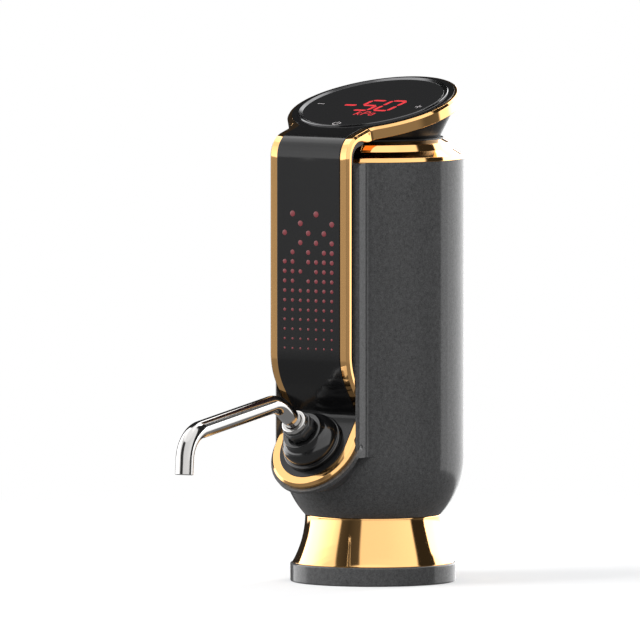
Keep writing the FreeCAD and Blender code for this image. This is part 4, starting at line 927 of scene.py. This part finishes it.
floor = {"radius": 0.55, "rings": (0.0, 0.15, 0.4, 0.7, 1.0), "sides": 96, "drop": 0.05 * mm, "colour": 0.86,
         "roughness": 0.9, "specular": 0.1, "bounce": 0.3, "paleFrom": 0.08, "paleTo": 0.4,
         "paleShares": (0.35, 1.0)}


def buildFloor():
    # disc of rings (r cos a, r sin a, -drop); the camera sees paper that pales to white away from the
    # object, mirrors see through it, and the rest is lit by a dim paper
    sides = floor["sides"]
    radius = floor["radius"] * np.array(floor["rings"])[:, None, None]
    level = radius * unit(2 * math.pi * np.arange(sides) / sides)
    points = np.concatenate([level, np.full((len(radius), sides, 1), -floor["drop"])], -1)
    mesh = bpy.data.meshes.new("floor")
    mesh.from_pydata(points.reshape(-1, 3).tolist(), [], gridFaces(len(radius), sides, False, True).tolist())
    material = bpy.data.materials.new("floorPaper")
    material.use_nodes = True
    tree = material.node_tree
    paper = tree.nodes["Principled BSDF"]
    paper.inputs["Base Color"].default_value = (floor["colour"],) * 3 + (1,)
    paper.inputs["Roughness"].default_value = floor["roughness"]
    paper.inputs["Specular IOR Level"].default_value = floor["specular"]
    dim = node(tree, "ShaderNodeBsdfDiffuse", Color=(floor["bounce"],) * 3 + (1,))
    white = node(tree, "ShaderNodeEmission", Color=(1, 1, 1, 1), Strength=1.0)
    clear = node(tree, "ShaderNodeBsdfTransparent")
    away = node(tree, "ShaderNodeVectorMath", {"operation": "LENGTH"}, i0=objectPlace(tree)).outputs["Value"]
    share = node(tree, "ShaderNodeMapRange", {"interpolation_type": "SMOOTHSTEP"}, Value=away,
                 From_Min=floor["paleFrom"], From_Max=floor["paleTo"], To_Min=floor["paleShares"][0],
                 To_Max=floor["paleShares"][1]).outputs["Result"]
    rays = node(tree, "ShaderNodeLightPath")
    seen = node(tree, "ShaderNodeMixShader", i0=share, i1=paper.outputs["BSDF"], i2=white.outputs["Emission"])
    unseen = node(tree, "ShaderNodeMixShader", i0=rays.outputs["Is Glossy Ray"], i1=dim.outputs["BSDF"],
                  i2=clear.outputs["BSDF"])
    mixed = node(tree, "ShaderNodeMixShader", i0=rays.outputs["Is Camera Ray"], i1=unseen.outputs["Shader"],
                 i2=seen.outputs["Shader"])
    tree.links.new(mixed.outputs["Shader"], tree.nodes["Material Output"].inputs["Surface"])
    mesh.materials.append(material)
    linked("floor", mesh)


# The studio that mirrors see. A zone has the elevations at which it starts and is reached in full, and its
# levels by bearing from the camera, positive to the right. The bands lean outwards with elevation, as far
# round as leanUntil in turns; past that the lean fades to nothing behind the object
behind = [(-180, 0.03), (-136, 0.03)]
before = [(-54, 0.09), (-40, 0.05), (-21, 0.1), (-18, 1.2), (20, 1.25), (65, 1.45), (68, 0.03)]
studio = {
    "peak": 4.0, "lean": 0.0045, "leanUntil": 1 / 3, "softColour": (0.95, 0.97, 1.0, 1), "softLevel": 0.45,
    "zones": [
        (-90, -90, [(-180, 0.28), (179, 0.28)]),
        (-16, -11, [(-180, 0.02), (-150, 0.03), (-146, 2.6), (-112, 2.3), (-104, 0.45), (-71, 0.42),
                    (-50, 0.32), (-35, 0.12), (-10, 0.25), (19, 0.33), (45, 0.3), (70, 0.12), (95, 0.15),
                    (97.5, 1.8), (130, 1.8), (179, 2.0)]),
        (-2.6, -1.0, [(-180, 0.03), (-134, 0.03), (-131, 4.0), (-100, 3.4), (-80, 2.4), (-57, 1.35), *before,
                      (95.5, 0.03), (96.5, 4.0), (175, 4.0), (177, 0.03)]),
        (5, 9, [*behind, (-133, 4.0), (-100, 3.4), (-80, 2.3), (-57, 1.35), *before, (96, 0.03), (97.5, 4.0),
                (167, 4.0), (170, 0.03)]),
        (21, 24, [*behind, (-133, 4.0), (-100, 3.4), (-80, 2.0), (-57, 1.3), *before, (98, 0.03), (101, 3.6),
                  (140, 3.2), (167, 2.4), (170, 0.03)]),
        (30, 32, [*behind, (-133, 3.8), (-100, 3.0), (-80, 1.8), (-57, 1.3), *before, (98, 0.03), (101, 4.0),
                  (167, 4.0), (170, 0.03)]),
        (36, 38, [*behind, (-133, 3.4), (-100, 2.4), (-80, 1.4), (-57, 1.25), *before, (101, 0.03),
                  (104, 2.5), (132, 3.5), (167, 3.0), (170, 0.03)]),
        (42, 44, [*behind, (-133, 3.0), (-106, 2.3), (-99, 1.45), (-76, 1.35), (-57, 1.3), *before[:4],
                  (20, 1.3), *before[5:], (99, 0.03), (101, 1.0), (112, 1.0), (120, 2.5), (167, 2.5),
                  (170, 0.03)]),
        (49, 52, [*behind, (-133, 3.0), (-100, 2.3), (-76, 2.0), (-30, 1.5), (65, 1.5), (68, 0.03),
                  (86, 0.03), (89, 4.0), (167, 3.0), (170, 0.03)]),
        (62, 75, [(-180, 1.6), (20, 1.6), (40, 1.9), (179, 1.9)]),
    ],
}


def brightness(tree, turns, stops):
    # a zone's levels over a whole turn, as shares of the peak
    ramp = node(tree, "ShaderNodeValToRGB", Fac=turns)
    elements = ramp.color_ramp.elements
    for i, (degrees, level) in enumerate(stops):
        place = (degrees + 180) / 360
        element = elements[i] if i < 2 else elements.new(place)
        element.position = place
        element.color = (level / studio["peak"],) * 3 + (1,)
    return ramp.outputs["Color"]


def buildWorld():
    # soft studio round the object for mirrors, plain white for the camera, even light for the rest
    world = bpy.data.worlds.new("studio")
    bpy.context.scene.world = world
    world.use_nodes = True
    tree = world.node_tree
    tree.nodes.clear()

    def add(first, second):
        return maths(tree, "ADD", first, second)

    def less(first, second):
        return maths(tree, "SUBTRACT", first, second)

    def times(first, second):
        return maths(tree, "MULTIPLY", first, second)

    way = node(tree, "ShaderNodeTexCoord").outputs["Generated"]
    parts = node(tree, "ShaderNodeSeparateXYZ", Vector=way)
    bearing = maths(tree, "ARCTAN2", parts.outputs["X"], times(parts.outputs["Y"], -1.0))
    fromCamera = maths(tree, "DIVIDE", less(bearing, math.radians(camera["azimuth"])), 2 * math.pi)
    around = less(maths(tree, "FRACT", add(fromCamera, 0.5)), 0.5)
    rise = maths(tree, "DEGREES", maths(tree, "ARCSINE", parts.outputs["Z"]))
    lean = less(1.0, times(maths(tree, "MAXIMUM", rise, 0.0), studio["lean"]))
    # near lean + far (3 - 2 lean), which is half a turn behind the object at any elevation
    size = maths(tree, "ABSOLUTE", around)
    near = maths(tree, "MINIMUM", size, studio["leanUntil"])
    far = times(less(size, near), less(3.0, times(lean, 2.0)))
    turns = add(times(add(times(near, lean), far), maths(tree, "SIGN", around)), 0.5)
    room = None
    for start, end, stops in studio["zones"]:
        zone = brightness(tree, turns, stops)
        if room:
            share = node(tree, "ShaderNodeMapRange", {"interpolation_type": "SMOOTHSTEP"}, Value=rise,
                         From_Min=start, From_Max=end).outputs["Result"]
            zone = node(tree, "ShaderNodeMix", {"data_type": "RGBA"}, i0=share, i6=room, i7=zone).outputs[2]
        room = zone
    bright = node(tree, "ShaderNodeBackground", Color=room, Strength=studio["peak"])
    plain = node(tree, "ShaderNodeBackground", Color=(1, 1, 1, 1), Strength=1.0)
    soft = node(tree, "ShaderNodeBackground", Color=studio["softColour"], Strength=studio["softLevel"])
    rays = node(tree, "ShaderNodeLightPath")
    lit = node(tree, "ShaderNodeMixShader", i0=rays.outputs["Is Glossy Ray"], i1=soft.outputs[0],
               i2=bright.outputs[0])
    shown = node(tree, "ShaderNodeMixShader", i0=rays.outputs["Is Camera Ray"], i1=lit.outputs[0],
                 i2=plain.outputs[0])
    out = tree.nodes.new("ShaderNodeOutputWorld")
    tree.links.new(shown.outputs[0], out.inputs["Surface"])


# bearing from the camera and elevation in degrees, distance, width and height, and power
lampTarget = Vector((0, 0, 80 * mm))
lamps = {
    "keyLamp": (-70, 35, 1.2, (0.5, 0.9), 14),
    "rimLamp": (140, 25, 1.2, (0.4, 0.9), 9),
    "frontLamp": (15, 40, 1.4, (0.9, 0.6), 8),
}


def buildLamp(name, bearing, elevation, distance, size, power):
    lamp = bpy.data.lights.new(name, "AREA")
    lamp.shape = "RECTANGLE"
    lamp.size, lamp.size_y = size
    lamp.energy = power
    made = linked(name, lamp)
    way = wayTo(camera["azimuth"] + bearing, elevation)
    made.location = lampTarget + way * distance
    made.rotation_euler = way.to_track_quat("Z", "Y").to_euler()
    made.visible_glossy = False


buildCamera()
buildFloor()
buildWorld()
for lampName, settings in lamps.items():
    buildLamp(lampName, *settings)

bpy.context.scene.view_settings.view_transform = "Standard"

print("stage made")
